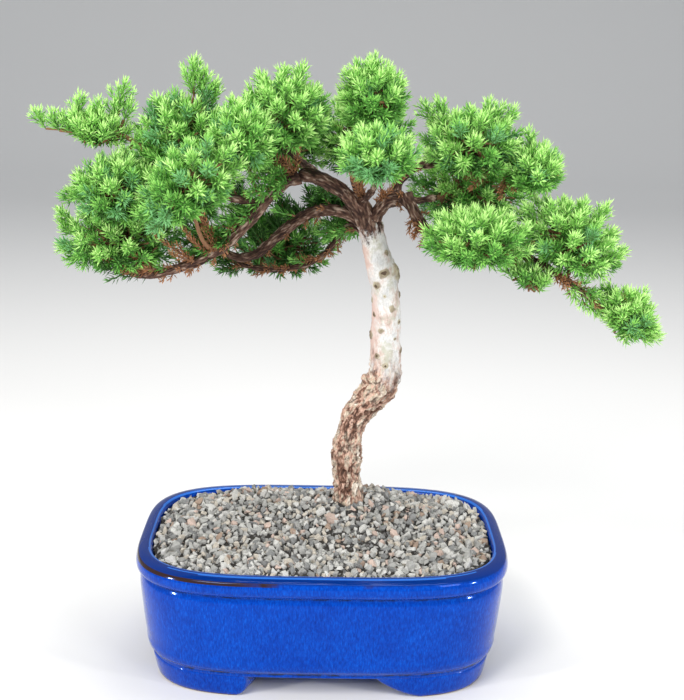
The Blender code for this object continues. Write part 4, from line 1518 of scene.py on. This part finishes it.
MASSES: dict[str, Mass] = {
    "foliage_far_left": Mass((-120, -12, 294), (31, 16, 10.5), "bough_left_shelf", 1.0,
                             ((-152, -12, 304), (-127, -12, 313), (-116, -13, 311), (-102, -12, 320),
                              (-143, -13, 304), (-97, -12, 312), (-107, -12, 310), (-136, -12, 303)),
                             tilt=12, shoots=8, bright=0.18),
    "foliage_upper_left": Mass((-74, -4, 293), (27, 30, 18), "bough_left_shelf", 0.62,
                               ((-68, -4, 332), (-63, -3, 326), (-56, -3, 320), (-91, -7, 312),
                                (-80, -8, 315), (-61, -5, 317)), shoots=10, blue=0.25),
    "foliage_left_shoulder": Mass((-106, -20, 263), (25, 30, 20), "bough_left_shelf", 0.84,
                                  ((-131, -14, 273), (-141, -15, 258), (-136, -16, 262)),
                                  shoots=12, blue=0.2),
    "foliage_left_skirt": Mass((-109, 0, 236), (34, 32, 20), "bough_upper_left_fall", 1.0,
                               ((-144, -6, 252), (-144, -5, 245), (-146, -4, 231), (-142, -6, 222),
                                (-134, -6, 217)), shoots=12),
    "foliage_left_front": Mass((-68, -45, 270), (34, 27, 19), "bough_upper_left_fall", 0.5,
                               tilt=-40, shoots=12, blue=0.2),
    "foliage_left_crest": Mass((-43, -30, 291), (19, 24, 19), "bough_upper_left_fall", 0.15,
                               ((-41, -16, 318), (-50, -16, 313), (-45, -18, 314)), shoots=10, blue=0.2),
    "foliage_left_back": Mass((-88, 48, 258), (40, 32, 30), "bough_middle_left", 1.0, shoots=12),
    "foliage_crown_left": Mass((-24, -5, 301), (25, 32, 22), "bough_crown_left", 1.0,
                               ((-38, -6, 325), (-24, -6, 328), (-13, -6, 330), (-4, -6, 318), (1, -6, 312),
                                (-34, -6, 322)), shoots=12),
    "foliage_inner_left": Mass((-28, 62, 223), (35, 26, 22), "bough_lower_left", 0.8,
                               shoots=10, bright=-0.3),
    "foliage_crown_left_back": Mass((-31, 58, 284), (35, 30, 25), "bough_back_left", 1.0, shoots=11),
    "foliage_crown_top": Mass((22, 2, 310), (20, 30, 20), "bough_leader", 1.0,
                              ((23, 2, 335), (11, 0, 331), (33, 0, 327), (41, 2, 319), (6, 0, 326),
                               (4, -2, 317)), shoots=9),
    "foliage_crown_front": Mass((24, -36, 285), (22, 24, 16), "bough_front", 1.0, shoots=10, blue=0.45),
    "foliage_crown_back": Mass((18, 62, 286), (32, 28, 26), "bough_back", 1.0, shoots=11),
    "foliage_right_upper": Mass((74, 2, 288), (28, 33, 20), "bough_right_upper", 0.66,
                                ((45, 4, 311), (54, 4, 313), (50, 3, 303), (84, 2, 313), (98, 2, 309),
                                 (91, 2, 311), (94, 2, 303), (65, 4, 307)), shoots=11),
    "foliage_right_shoulder": Mass((106, -4, 276), (17, 27, 15), "bough_right_upper", 1.0,
                                   ((103, -4, 299), (112, -4, 292), (124, -4, 278)), shoots=9),
    "foliage_right_skirt": Mass((75, -30, 243), (30, 28, 17), "bough_cascade", 0.34, shoots=12),
    "foliage_right_outer": Mass((125, -12, 241), (32, 31, 20), "bough_cascade", 0.8,
                                ((122, -12, 265), (134, -12, 264), (147, -12, 262), (154, -12, 246),
                                 (160, -12, 235), (162, -12, 230)), tilt=28, shoots=11, bright=0.12),
    "foliage_right_under": Mass((106, -15, 222), (20, 21, 9), "bough_cascade", 0.6, tilt=14, shoots=9),
    "foliage_right_tip": Mass((159, -15, 203), (22, 19, 13.5), "bough_cascade", 1.0,
                              ((181, -15, 190), (177, -15, 201), (168, -15, 218), (158, -15, 217),
                               (146, -15, 195), (152, -15, 186), (167, -15, 187)),
                              tilt=35, shoots=8, bright=0.35),
    "foliage_right_back": Mass((81, 58, 258), (40, 30, 28), "bough_back_right", 1.0, shoots=12),
}
# Dead twigs on the bare boughs: root and tip.
DEAD_TWIGS: tuple[tuple[Triple, Triple], ...] = (
    ((-70, -12, 224), (-90, -22, 242)), ((-62, -13, 229), (-74, -24, 245)),
    ((-88, -9, 219), (-103, -18, 229)), ((-60, -18, 256), (-60, -36, 272)),
    ((-18, -6, 270), (-17, -13, 283)), ((-96, -7, 217), (-116, -12, 223)),
    ((-22, -6, 268), (-25, -15, 281)), ((18, 8, 256), (14, -8, 271)),
    ((28, 8, 254), (33, -6, 268)), ((62, -10, 238), (80, -20, 247)),
    ((92, -14, 233), (106, -24, 242)), ((84, 6, 273), (72, -12, 264)),
    ((96, 3, 274), (87, -12, 262)), ((118, -15, 223), (131, -25, 219)),
    ((48, 0, 247), (43, -7, 239)), ((45, 0, 252), (50, -9, 240)),
    ((-58, -13, 230), (-63, -18, 250)), ((-60, -14, 238), (-66, -22, 253)),
    ((52, -5, 243), (48, -13, 234)), ((60, -8, 238), (66, -16, 229)),
)
# Lone sprigs along them: how many, share of dead ones and where along the bough they begin.
LONE_SPRIGS: dict[str, tuple[int, float, float]] = {
    "bough_upper_left_fall": (34, 0.8, 0.4),
    "bough_middle_left": (16, 0.7, 0.1),
    "bough_lower_left": (44, 0.9, 0.1),
    "bough_cascade": (34, 0.6, 0.1),
    "bough_left_shelf": (10, 0.5, 0.1),
    "bough_right_upper": (10, 0.5, 0.1),
    "bough_right_elbow": (4, 0.9, 0.4),
}
# Living sprays on them: bough, colour and, for each, place along it and tip.
LIVE_SPRAYS: tuple[tuple[str, Tone, tuple[tuple[float, Triple], ...]], ...] = (
    ("bough_middle_left", Tone.DEEP, (
        (0.08, (9, 38, 257)), (0.12, (4, 38, 253)), (0.20, (-5, 38, 256)), (0.28, (-12, 38, 257)),
        (0.42, (-30, 38, 259)), (0.40, (-27, 38, 251)), (0.16, (0, 40, 250)), (0.24, (-10, 42, 248)),
        (0.34, (-20, 44, 244)), (0.50, (-34, 46, 240)), (0.60, (-44, 48, 236)),
    )),
    ("bough_upper_left_rise", Tone.DEEP, ((0.45, (3, 26, 254)), (0.62, (-6, 27, 255)))),
    ("bough_upper_left_fall", Tone.MID, (
        (0.06, (-40, -24, 271)), (0.04, (-34, -22, 274)), (0.10, (-42, -24, 262)),
        (0.22, (-48, -10, 251)), (0.18, (-43, -10, 255)), (0.28, (-55, -12, 246)), (0.34, (-61, -12, 242)),
    )),
    ("bough_upper_left_fall", Tone.DEEP, (
        (0.24, (-50, 12, 249)), (0.30, (-54, 12, 243)), (0.40, (-63, -14, 235)), (0.44, (-68, -14, 233)),
        (0.46, (-71, -16, 241)), (0.52, (-78, -16, 245)), (0.54, (-79, -14, 235)), (0.50, (-74, -12, 229)),
        (0.97, (-122, -8, 221)), (0.93, (-112, -2, 219)),
    )),
    ("bough_left_shelf", Tone.DEEP, ((0.15, (-50, 8, 262)),)),
    ("bough_left_shelf", Tone.MID, (
        (0.66, (-98, -22, 285)), (0.60, (-91, -24, 282)), (0.64, (-95, -20, 291)), (0.56, (-86, -20, 287)),
    )),
    ("bough_lower_left", Tone.DEEP, (
        (1.0, (-66, 44, 214)), (0.96, (-62, 40, 210)), (0.92, (-58, 48, 208)), (1.0, (-64, 40, 220)),
    )),
    ("bough_lower_left", Tone.MID, (
        (0.10, (-3, 36, 239)), (0.08, (3, 36, 242)), (0.06, (8, 34, 238)), (0.14, (-7, 36, 233)),
        (0.10, (1, 36, 233)),
    )),
    ("bough_cascade", Tone.FRESH_LIT, (
        (0.86, (131, -14, 207)), (0.90, (137, -14, 202)), (0.94, (142, -14, 200)), (0.90, (144, -18, 210)),
        (0.97, (149, -14, 198)), (0.84, (130, -20, 213)),
    )),
)


@dataclass
class Crown:
    """All foliage masses, each grown from its limb within its own space."""

    limbs: dict[str, Limb]
    fullness: float = 1.08
    layers: tuple[tuple[float, float], ...] = ((1.0, 5.2), (0.78, 4.2), (0.52, 1.6))
    core: float = 0.62
    lift: float = 5.0
    lowest: float = -0.85
    overreach: float = 1.12
    free_from: float = 1.1
    margin: float = -4.5
    bare: float = 2.6
    plume: float = 29.0
    overhang: float = 3.4
    apart: float = 4.9
    shortest: float = 15.0
    pulls: tuple[float, ...] = (1.0, 0.95, 0.9, 0.84, 0.78, 0.7, 0.62, 0.52, 0.42)
    swell: tuple[float, ...] = (3.0, 5.0, 6.0, 4.0, 0.5)
    dead_below: float = 0.70
    dead_share: float = 0.13
    stalk_radii: tuple[float, float] = (0.62, 0.42)
    stout_from: float = 16.0
    needles: Needles = field(default_factory=Needles)

    def __post_init__(self) -> None:
        """Works out each space's matrix and the limbs' sample points."""
        self.names = list(MASSES)
        self.centres = np.array([MASSES[n].centre for n in self.names], float)
        mats, self.turns = [], []
        for name in self.names:
            mass = MASSES[name]
            turn = np.array(Matrix.Rotation(math.radians(mass.tilt), 3, "Y"))
            radii = np.array(mass.radii) * self.fullness
            mats.append(turn @ np.diag(1 / radii**2) @ turn.T)
            self.turns.append(turn)
        self.mats = np.array(mats)
        wood = np.vstack([limb.path[::3] for limb in self.limbs.values()])
        self.wood, self.wood_radius = wood[:, :3], wood[:, 3]

    def levels(self, points: np.ndarray) -> tuple[np.ndarray, np.ndarray]:
        """How deep points lie in every space: 0 at its centre, 1 at its surface.

        Args:
            points: Rows of x, y and z.

        Returns:
            The levels, a row for each point, and their slopes.
        """
        away = points[:, None, :] - self.centres[None]
        pushed = np.einsum("kij,nkj->nki", self.mats, away)
        return np.einsum("nki,nki->nk", away, pushed), 2 * pushed

    def fits(self, number: int, points: np.ndarray, leading: bool) -> bool:
        """Whether points keep to a mass's own space.

        Args:
            number: The mass's number.
            points: Rows of x, y and z.
            leading: Whether they belong to a leading shoot, which may stand out of the crown's outline.

        Returns:
            True where they do.
        """
        level, slope = self.levels(points)
        own = level[:, number]
        if (own > self.overreach).any() and not leading:
            return False
        steep = np.linalg.norm(slope - slope[:, number : number + 1], axis=2)
        gap = level - own[:, None] - self.margin * steep
        gap[:, number] = 1.0
        if leading:
            gap[level > self.free_from] = 1.0
        return bool((gap > 0).all())

    def clear_of_wood(self, points: np.ndarray, spare: float) -> bool:
        """Whether points keep a distance from the bark of every limb."""
        away = np.linalg.norm(points[:, None] - self.wood[None], axis=2) - self.wood_radius[None]
        return bool((away > spare).all())

    def surface(self, number: int, direction: np.ndarray) -> np.ndarray:
        """Point where a direction from the centre leaves a space."""
        direction = direction / np.linalg.norm(direction)
        return self.centres[number] + direction / math.sqrt(direction @ self.mats[number] @ direction)

    def stem(self, number: int) -> np.ndarray:
        """Line of a mass's stem, from its limb to the middle of its space.

        Args:
            number: The mass's number.

        Returns:
            Rows of x, y, z and radius.
        """
        mass = MASSES[self.names[number]]
        path = self.limbs[mass.limb].path
        at = min(len(path) - 2, int(mass.along * (len(path) - 1)))
        start = path[at, :3] if mass.along < 1 else path[-1, :3]
        ahead = unit(path[at + 1, :3] - path[at, :3])
        centre = self.centres[number]
        bend = start + ahead * np.linalg.norm(centre - start) * 0.35
        t = np.linspace(0, 1, 9)[:, None]
        line = start * (1 - t) ** 2 + bend * 2 * t * (1 - t) + centre * t**2
        return np.hstack([line, 1.5 - 0.6 * t])

    def tones(self, mass: Mass, depth: float, height: float, rng: np.random.Generator) -> tuple[Tone, Tone]:
        """Deals out the colour of a spray and of its tips.

        Args:
            mass: The mass it belongs to.
            depth: 0 in the middle of the mass, 1 at its surface.
            height: -1 at its foot, 1 at its top.
            rng: Source of chance.

        Returns:
            The tone of the spray and of its tips.
        """
        # Painted light and shade: sprays deep or low in a mass get darker greens, those outside and on top
        # lighter ones, and mass.bright lifts or lowers a whole mass; partly also the fresher growth at the
        # surface.
        mark = 0.55 * depth + 0.30 * height + mass.bright + rng.normal(0, 0.14)
        if depth < self.dead_below and rng.random() < self.dead_share:
            return Tone.DEAD, Tone.DEAD
        if rng.random() < mass.blue and mark > 0.15:
            return Tone.BLUE, Tone.FRESH_LIT if mark > 0.5 else Tone.BLUE
        if mark > 0.50:
            return Tone.FRESH_LIT, Tone.LIME_HIGHLIGHT
        if mark > 0.22:
            return Tone.MID, Tone.FRESH_LIT
        return Tone.DEEP, Tone.MID

    @staticmethod
    def plume_sprigs(
        root: np.ndarray,
        tip: np.ndarray,
        tones: tuple[Tone, Tone],
        rng: np.random.Generator,
        full: bool = False,
    ) -> list[Sprig]:
        """A feathery plume: one long shoot with short ones standing off it all round.

        Args:
            root: Where it starts.
            tip: Its point.
            tones: Colours of its needles and of those at its tips.
            rng: Source of chance.
            full: Whether it is a dense cone, as the leading ones are.

        Returns:
            Its shoots, the long one first.
        """
        length = np.linalg.norm(tip - root)
        bend = (root + tip) / 2 + rng.normal(0, 0.04, 3) * length - np.array([0, 0, 0.06 * length])
        main = Sprig(root, bend, tip, rng.uniform(5.6, 6.8), *tones, rng.uniform(0, math.tau))
        found = [main]
        below = np.arange(4.6, length * 0.96, 1.5 if full else 2.45)
        place, axis = main.points(1 - below / length)
        first, second = side_frames(axis)
        turn = rng.uniform(0, math.tau)
        for k, down in enumerate(below):
            turn += GOLDEN
            out = first[k] * math.cos(turn) + second[k] * math.sin(turn)
            reach = min(11.0, (0.56 if full else 0.47) * down + 1.2) * rng.uniform(0.8, 1.15)
            lean = math.radians(rng.uniform(34, 48))
            head = unit(axis[k] * math.cos(lean) + out * math.sin(lean))
            end = place[k] + head * reach + axis[k] * reach * 0.16 + np.array([0, 0, 0.06 * reach])
            bend = place[k] + head * reach * 0.55
            needle, roll = rng.uniform(4.4, 5.7), rng.uniform(0, math.tau)
            found.append(Sprig(place[k], bend, end, needle, *tones, roll))
        return found

    def hub(self, number: int, tip: np.ndarray) -> np.ndarray:
        """Point that a shoot grows away from: near the middle, or further out along a long mass.

        Args:
            number: The mass's number.
            tip: Where the shoot would end.

        Returns:
            The point.
        """
        turn = self.turns[number]
        radii = np.array(MASSES[self.names[number]].radii) * self.fullness
        share = np.maximum(0.15, 1 - 0.85 * radii.min() / radii)
        return self.centres[number] + turn @ ((turn.T @ (tip - self.centres[number])) * share)

    def hull(self, axis: np.ndarray, ahead: np.ndarray) -> np.ndarray:
        """Points round a plume, which have to keep to its mass's space.

        Args:
            axis: Rows of x, y and z from its root to its tip.
            ahead: Its direction.

        Returns:
            Rows of x, y and z.
        """
        first, second = side_frames(ahead[None])
        swell = np.array(self.swell)[:, None]
        return np.vstack([axis + f * swell for f in (first, -first, second, -second)] + [axis])

    def targets(self, number: int) -> list[tuple[np.ndarray, bool, float]]:
        """Where shoots would end: the leading tips, then directions spread over each layer.

        Args:
            number: The mass's number.

        Returns:
            For each its offset or direction from the centre, whether it leads, and its layer.
        """
        mass = MASSES[self.names[number]]
        found = [(np.array(tip, float) - self.centres[number], True, 1.0) for tip in mass.tips]
        for layer, finer in self.layers:
            total = int(mass.shoots * finer)
            for k in range(total):
                z = 1 - 2 * (k + 0.5) / total
                turn = k * GOLDEN + layer * 2.1
                flat = math.sqrt(1 - z * z)
                if z > self.lowest:
                    found.append((np.array([flat * math.cos(turn), flat * math.sin(turn), z]), False, layer))
        return found

    def grow(self, number: int) -> tuple[list[Sprig], list[Rod]]:
        """Grows one mass, drawing each shoot in until it fits.

        Args:
            number: The mass's number.

        Returns:
            Its sprigs, and its twigs as rods.
        """
        mass = MASSES[self.names[number]]
        rng = np.random.default_rng(SEED + number)
        centre = self.centres[number]
        stem = self.stem(number)
        twigs = [(a[:3], b[:3], a[3], b[3], 0) for a, b in zip(stem, stem[1:])]
        sprigs: list[Sprig] = []
        tips: list[np.ndarray] = []
        for offset, leading, layer in self.targets(number):
            for pull in self.pulls:
                if leading:
                    point = centre + offset * pull
                else:
                    point = centre + (self.surface(number, offset) - centre) * pull * layer
                hub = self.hub(number, point)
                hub = hub + (point - hub) * max(0.1, self.core - 0.18)
                hub = hub - np.array([0, 0, self.lift * rng.uniform(0.5, 1.2)])
                ahead = unit(point - hub)
                room = max(self.shortest, np.linalg.norm(point - hub))
                length = min(self.plume * rng.uniform(0.85, 1.05), room)
                tip = point - ahead * self.overhang
                root = point - ahead * length
                if any(np.linalg.norm(tip - other) < self.apart for other in tips):
                    continue
                axis = root + (tip - root) * np.linspace(0, 1, 5)[:, None]
                if not self.fits(number, self.hull(axis, ahead), leading):
                    continue
                if not self.clear_of_wood(axis, self.bare):
                    continue
                depth = math.sqrt(self.levels(point[None])[0][0, number])
                height = float((tip - centre)[2] / mass.radii[2])
                sprigs += self.plume_sprigs(root, tip, self.tones(mass, depth, height, rng), rng, leading)
                tips.append(tip)
                near = stem[np.argmin(np.linalg.norm(stem[:, :3] - root, axis=1)), :3]
                middle = (near + root) / 2 + np.array([0, 0, -1.5]) + rng.normal(0, 0.8, 3)
                twigs.append((near, middle, 0.85, 0.7, 0))
                twigs.append((middle, root, 0.7, 0.6, 0))
                break
        return sprigs, twigs

    def stalks(self, sprigs: list[Sprig]) -> list[Rod]:
        """The stalks that carry the needles, brown at the root and green above.

        Args:
            sprigs: The shoots.

        Returns:
            The stalks as rods.
        """
        parts = []
        for sprig in sprigs:
            place, _ = sprig.points(np.array([0.0, 0.4, 0.75, 0.98]))
            stout = sprig.woody or np.linalg.norm(sprig.tip - sprig.root) > self.stout_from
            thick = self.stalk_radii[0 if stout else 1]
            for k in range(3):
                kind = 0 if (k == 0 and stout) or sprig.tone is Tone.DEAD else 1
                low, high = thick * (1 - 0.22 * k), thick * (0.78 - 0.22 * k)
                parts.append((place[k], place[k + 1], low, high, kind))
        return parts

    def dress(
        self, name: str, sprigs: list[Sprig], twigs: list[Rod], replaces: tuple[str, ...], number: int
    ) -> None:
        """Makes the two pieces of a spray: its needles and its wood.

        Args:
            name: The spray's name.
            sprigs: Its shoots.
            twigs: Its twigs as rods.
            replaces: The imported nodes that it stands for.
            number: Seed of its chance.
        """
        rng = np.random.default_rng(SEED * 7 + number)
        verts, faces, tones = self.needles.needle_arrays(sprigs, rng)
        mesh = mesh_from_arrays(name + "_needles", verts, faces, tones)
        for tone in Tone:
            mesh.materials.append(tone.finish.material())
        link(name + "_needles", mesh, replaces)
        verts, faces, kinds = self.needles.rods(twigs, 6)
        more, quads, extra = self.needles.rods(self.stalks(sprigs), 4)
        mesh = mesh_from_arrays(
            name + "_twigs",
            np.vstack([verts, more]),
            np.vstack([faces, quads + len(verts)]),
            np.concatenate([kinds, extra]),
            smooth=True,
        )
        for finish in (YOUNG_WOOD, GREEN_WOOD):
            mesh.materials.append(finish.material())
        link(name + "_twigs", mesh)

    def sprouts(self) -> list[Sprig]:
        """Dresses the bare boughs: dead twigs, spiky dead needles, short living sprigs and sprays.

        Returns:
            The shoots.
        """
        rng = np.random.default_rng(SEED + 99)
        sprigs = []
        for root, tip in DEAD_TWIGS:
            start, end = np.array(root, float), np.array(tip, float)
            for aside in (0.0, 0.35, -0.35):
                far = start + (end - start) * (1 - abs(aside)) + rng.normal(0, 1.0 + 8 * abs(aside), 3)
                middle = (start + far) / 2 - np.array([0, 0, 1.2])
                size, roll = rng.uniform(3.6, 4.8), rng.uniform(0, 6)
                sprigs.append(Sprig(start, middle, far, size, Tone.DEAD, Tone.DEAD, roll, True))
        for name, (count, dead_share, begin) in LONE_SPRIGS.items():
            path = self.limbs[name].path
            axes = unit(np.gradient(path[:, :3], axis=0))
            for k in range(count):
                at = int((begin + (0.97 - begin) * (k + rng.uniform(0, 1)) / count) * (len(path) - 1))
                first, second = side_frames(axes[at][None])
                turn = rng.uniform(0, math.tau)
                out = first[0] * math.cos(turn) + second[0] * math.sin(turn)
                dead = rng.random() < dead_share
                if not dead and out[2] < 0:
                    out = -out
                start = path[at, :3] + out * path[at, 3] * 0.7
                head = unit(out + axes[at] * rng.uniform(0.4, 1.2))
                length = rng.uniform(2.5, 6.5) if dead else rng.uniform(7, 14)
                end = start + head * length + np.array([0, 0, 0.0 if dead else 2.0])
                size = rng.uniform(2.6, 4.0) if dead else rng.uniform(4.2, 5.6)
                tones = (Tone.DEAD, Tone.DEAD) if dead else (Tone.MID, Tone.FRESH_LIT)
                middle = (start + end) / 2 + rng.normal(0, 0.5, 3)
                sprigs.append(Sprig(start, middle, end, size, *tones, turn, True))
        lighter = {Tone.DEEP: Tone.MID, Tone.MID: Tone.FRESH_LIT, Tone.FRESH_LIT: Tone.LIME_HIGHLIGHT}
        for name, tone, places in LIVE_SPRAYS:
            path = self.limbs[name].path
            for share, tip in places:
                root = path[int(share * (len(path) - 1)), :3]
                sprigs += self.plume_sprigs(root, np.array(tip, float), (tone, lighter[tone]), rng)
        return sprigs

    def build(self) -> None:
        """Grows and dresses every mass, then the sprigs along the boughs."""
        for number, name in enumerate(self.names):
            sprigs, twigs = self.grow(number)
            self.dress(name, sprigs, twigs, (name,), number)
        sprigs = self.sprouts()
        twigs = [(s.root, (s.root + s.bend) / 2, 0.6, 0.5, 0) for s in sprigs]
        self.dress("bough_sprigs", sprigs, twigs, (), 99)


# ---------------------------------------------------------------- studio


@dataclass(frozen=True)
class Lamp:
    """A soft rectangular lamp: places and sides in metres, power in watts."""

    name: str
    at: Triple
    size: tuple[float, float]
    power: float
    colour: Triple = (1.0, 1.0, 1.0)

    def hang(self, aim: Triple) -> None:
        """Adds the lamp, turned towards a point.

        Args:
            aim: The point, in metres.
        """
        data = bpy.data.lights.new(self.name, "AREA")
        data.shape = "RECTANGLE"
        data.size, data.size_y = self.size
        data.energy = self.power
        data.color = self.colour
        lamp = bpy.data.objects.new(self.name, data)
        lamp.location = self.at
        lamp.visible_camera = False
        lamp.rotation_euler = (Vector(aim) - Vector(self.at)).to_track_quat("-Z", "Y").to_euler()
        bpy.context.scene.collection.objects.link(lamp)


@dataclass
class Studio:
    """Pale sweep, soft lamps and the camera."""

    camera_at: Triple = (-0.5, -656.8, 343.2)
    azimuth: float = -0.8
    elevation: float = 14.4
    roll: float = 1.2
    lens: float = 64.3
    sensor: float = 36.0
    sky: Triple = (0.80, 0.84, 0.90)
    sky_strength: float = 0.55
    aim: Triple = (0.0, 0.0, 0.18)
    lamps: tuple[Lamp, ...] = (
        Lamp("key", (-0.55, -0.95, 1.25), (0.45, 0.6), 14, (1.0, 0.98, 0.95)),
        Lamp("fill", (0.75, -1.0, 0.75), (0.35, 0.5), 5, (0.95, 0.97, 1.0)),
        Lamp("top", (0.1, 0.2, 1.5), (0.9, 0.7), 15),
        Lamp("window_left", (-1.0, -0.62, 0.40), (0.09, 0.14), 7.5),
        Lamp("window_right", (1.0, -0.62, 0.40), (0.08, 0.12), 5.5),
    )
    sweep_half_width: float = 4.0
    sweep_front: float = -3.0
    sweep_depth: float = 5.0
    sweep_flat: float = 0.6
    sweep_radius: float = 1.5
    sweep_stretch: float = 1.6

    def floor(self) -> None:
        """A floor that sweeps up into a wall far behind."""
        bm = bmesh.new()
        bmesh.ops.create_grid(bm, x_segments=1, y_segments=24, size=1)
        flat = self.sweep_flat
        for vert in bm.verts:
            share = (vert.co.y + 1) / 2
            turn = max(0.0, share - flat) / (1 - flat) * math.pi / 2
            vert.co.x *= self.sweep_half_width
            vert.co.y = self.sweep_front + min(share, flat) / flat * self.sweep_depth
            vert.co.y += self.sweep_radius * math.sin(turn)
            vert.co.z = self.sweep_radius * (1 - math.cos(turn)) * self.sweep_stretch
        mesh = bpy.data.meshes.new("studio_sweep")
        bm.to_mesh(mesh)
        bm.free()
        mesh.shade_smooth()
        mesh.materials.append(FLOOR_PAINT.material())
        sweep = bpy.data.objects.new("studio_sweep", mesh)
        bpy.context.scene.collection.objects.link(sweep)

    def light(self) -> None:
        """A soft sky and the lamps."""
        world = bpy.data.worlds.new("soft_sky")
        world.use_nodes = True
        background = world.node_tree.nodes["Background"]
        background.inputs["Color"].default_value = (*self.sky, 1.0)
        background.inputs["Strength"].default_value = self.sky_strength
        bpy.context.scene.world = world
        for lamp in self.lamps:
            lamp.hang(self.aim)

    def camera(self) -> None:
        """The camera, a little to the left and above, rolled slightly."""
        azimuth, elevation, roll = (math.radians(v) for v in (self.azimuth, self.elevation, self.roll))
        level = math.cos(elevation)
        back = Vector((math.sin(azimuth) * level, -math.cos(azimuth) * level, math.sin(elevation)))
        right = Vector((math.cos(azimuth), math.sin(azimuth), 0))
        up = back.cross(right)
        side = right * math.cos(roll) + up * math.sin(roll)
        top = up * math.cos(roll) - right * math.sin(roll)
        data = bpy.data.cameras.new("camera")
        data.sensor_width = self.sensor
        data.lens = self.lens
        data.clip_start = 0.01
        camera = bpy.data.objects.new("camera", data)
        pose = Matrix((side, top, back)).transposed().to_4x4()
        pose.translation = (Vector(self.camera_at) + Vector(PLANT_SHIFT)) * MM
        camera.matrix_world = pose
        bpy.context.scene.collection.objects.link(camera)
        bpy.context.scene.camera = camera
        bpy.context.scene.view_settings.view_transform = "Standard"

    def build(self) -> None:
        """Sets up floor, light and camera."""
        self.floor()
        self.light()
        self.camera()


def main() -> None:
    """Builds the plant from the ground up, then the studio round it."""
    logging.basicConfig(level=logging.INFO, format="%(name)s %(message)s")
    Pot().build()
    GravelBed().build()
    limbs = {"trunk": Limb("trunk", TRUNK_LINE, Bark.FLAKY, sides=120, step=0.5, relief=1.0, root_flare=0.0)}
    limbs |= {name: Limb(name, line) for name, line in BOUGH_LINES.items()}
    for limb in limbs.values():
        limb.build()
    Limb("trunk_stub", STUB_LINE, Bark.FLAKY, sides=40, step=0.5, relief=0.5, stands_for_node=False).build()
    Crown(limbs).build()
    Studio().build()
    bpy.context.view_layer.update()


if __name__ == "__main__":
    main()
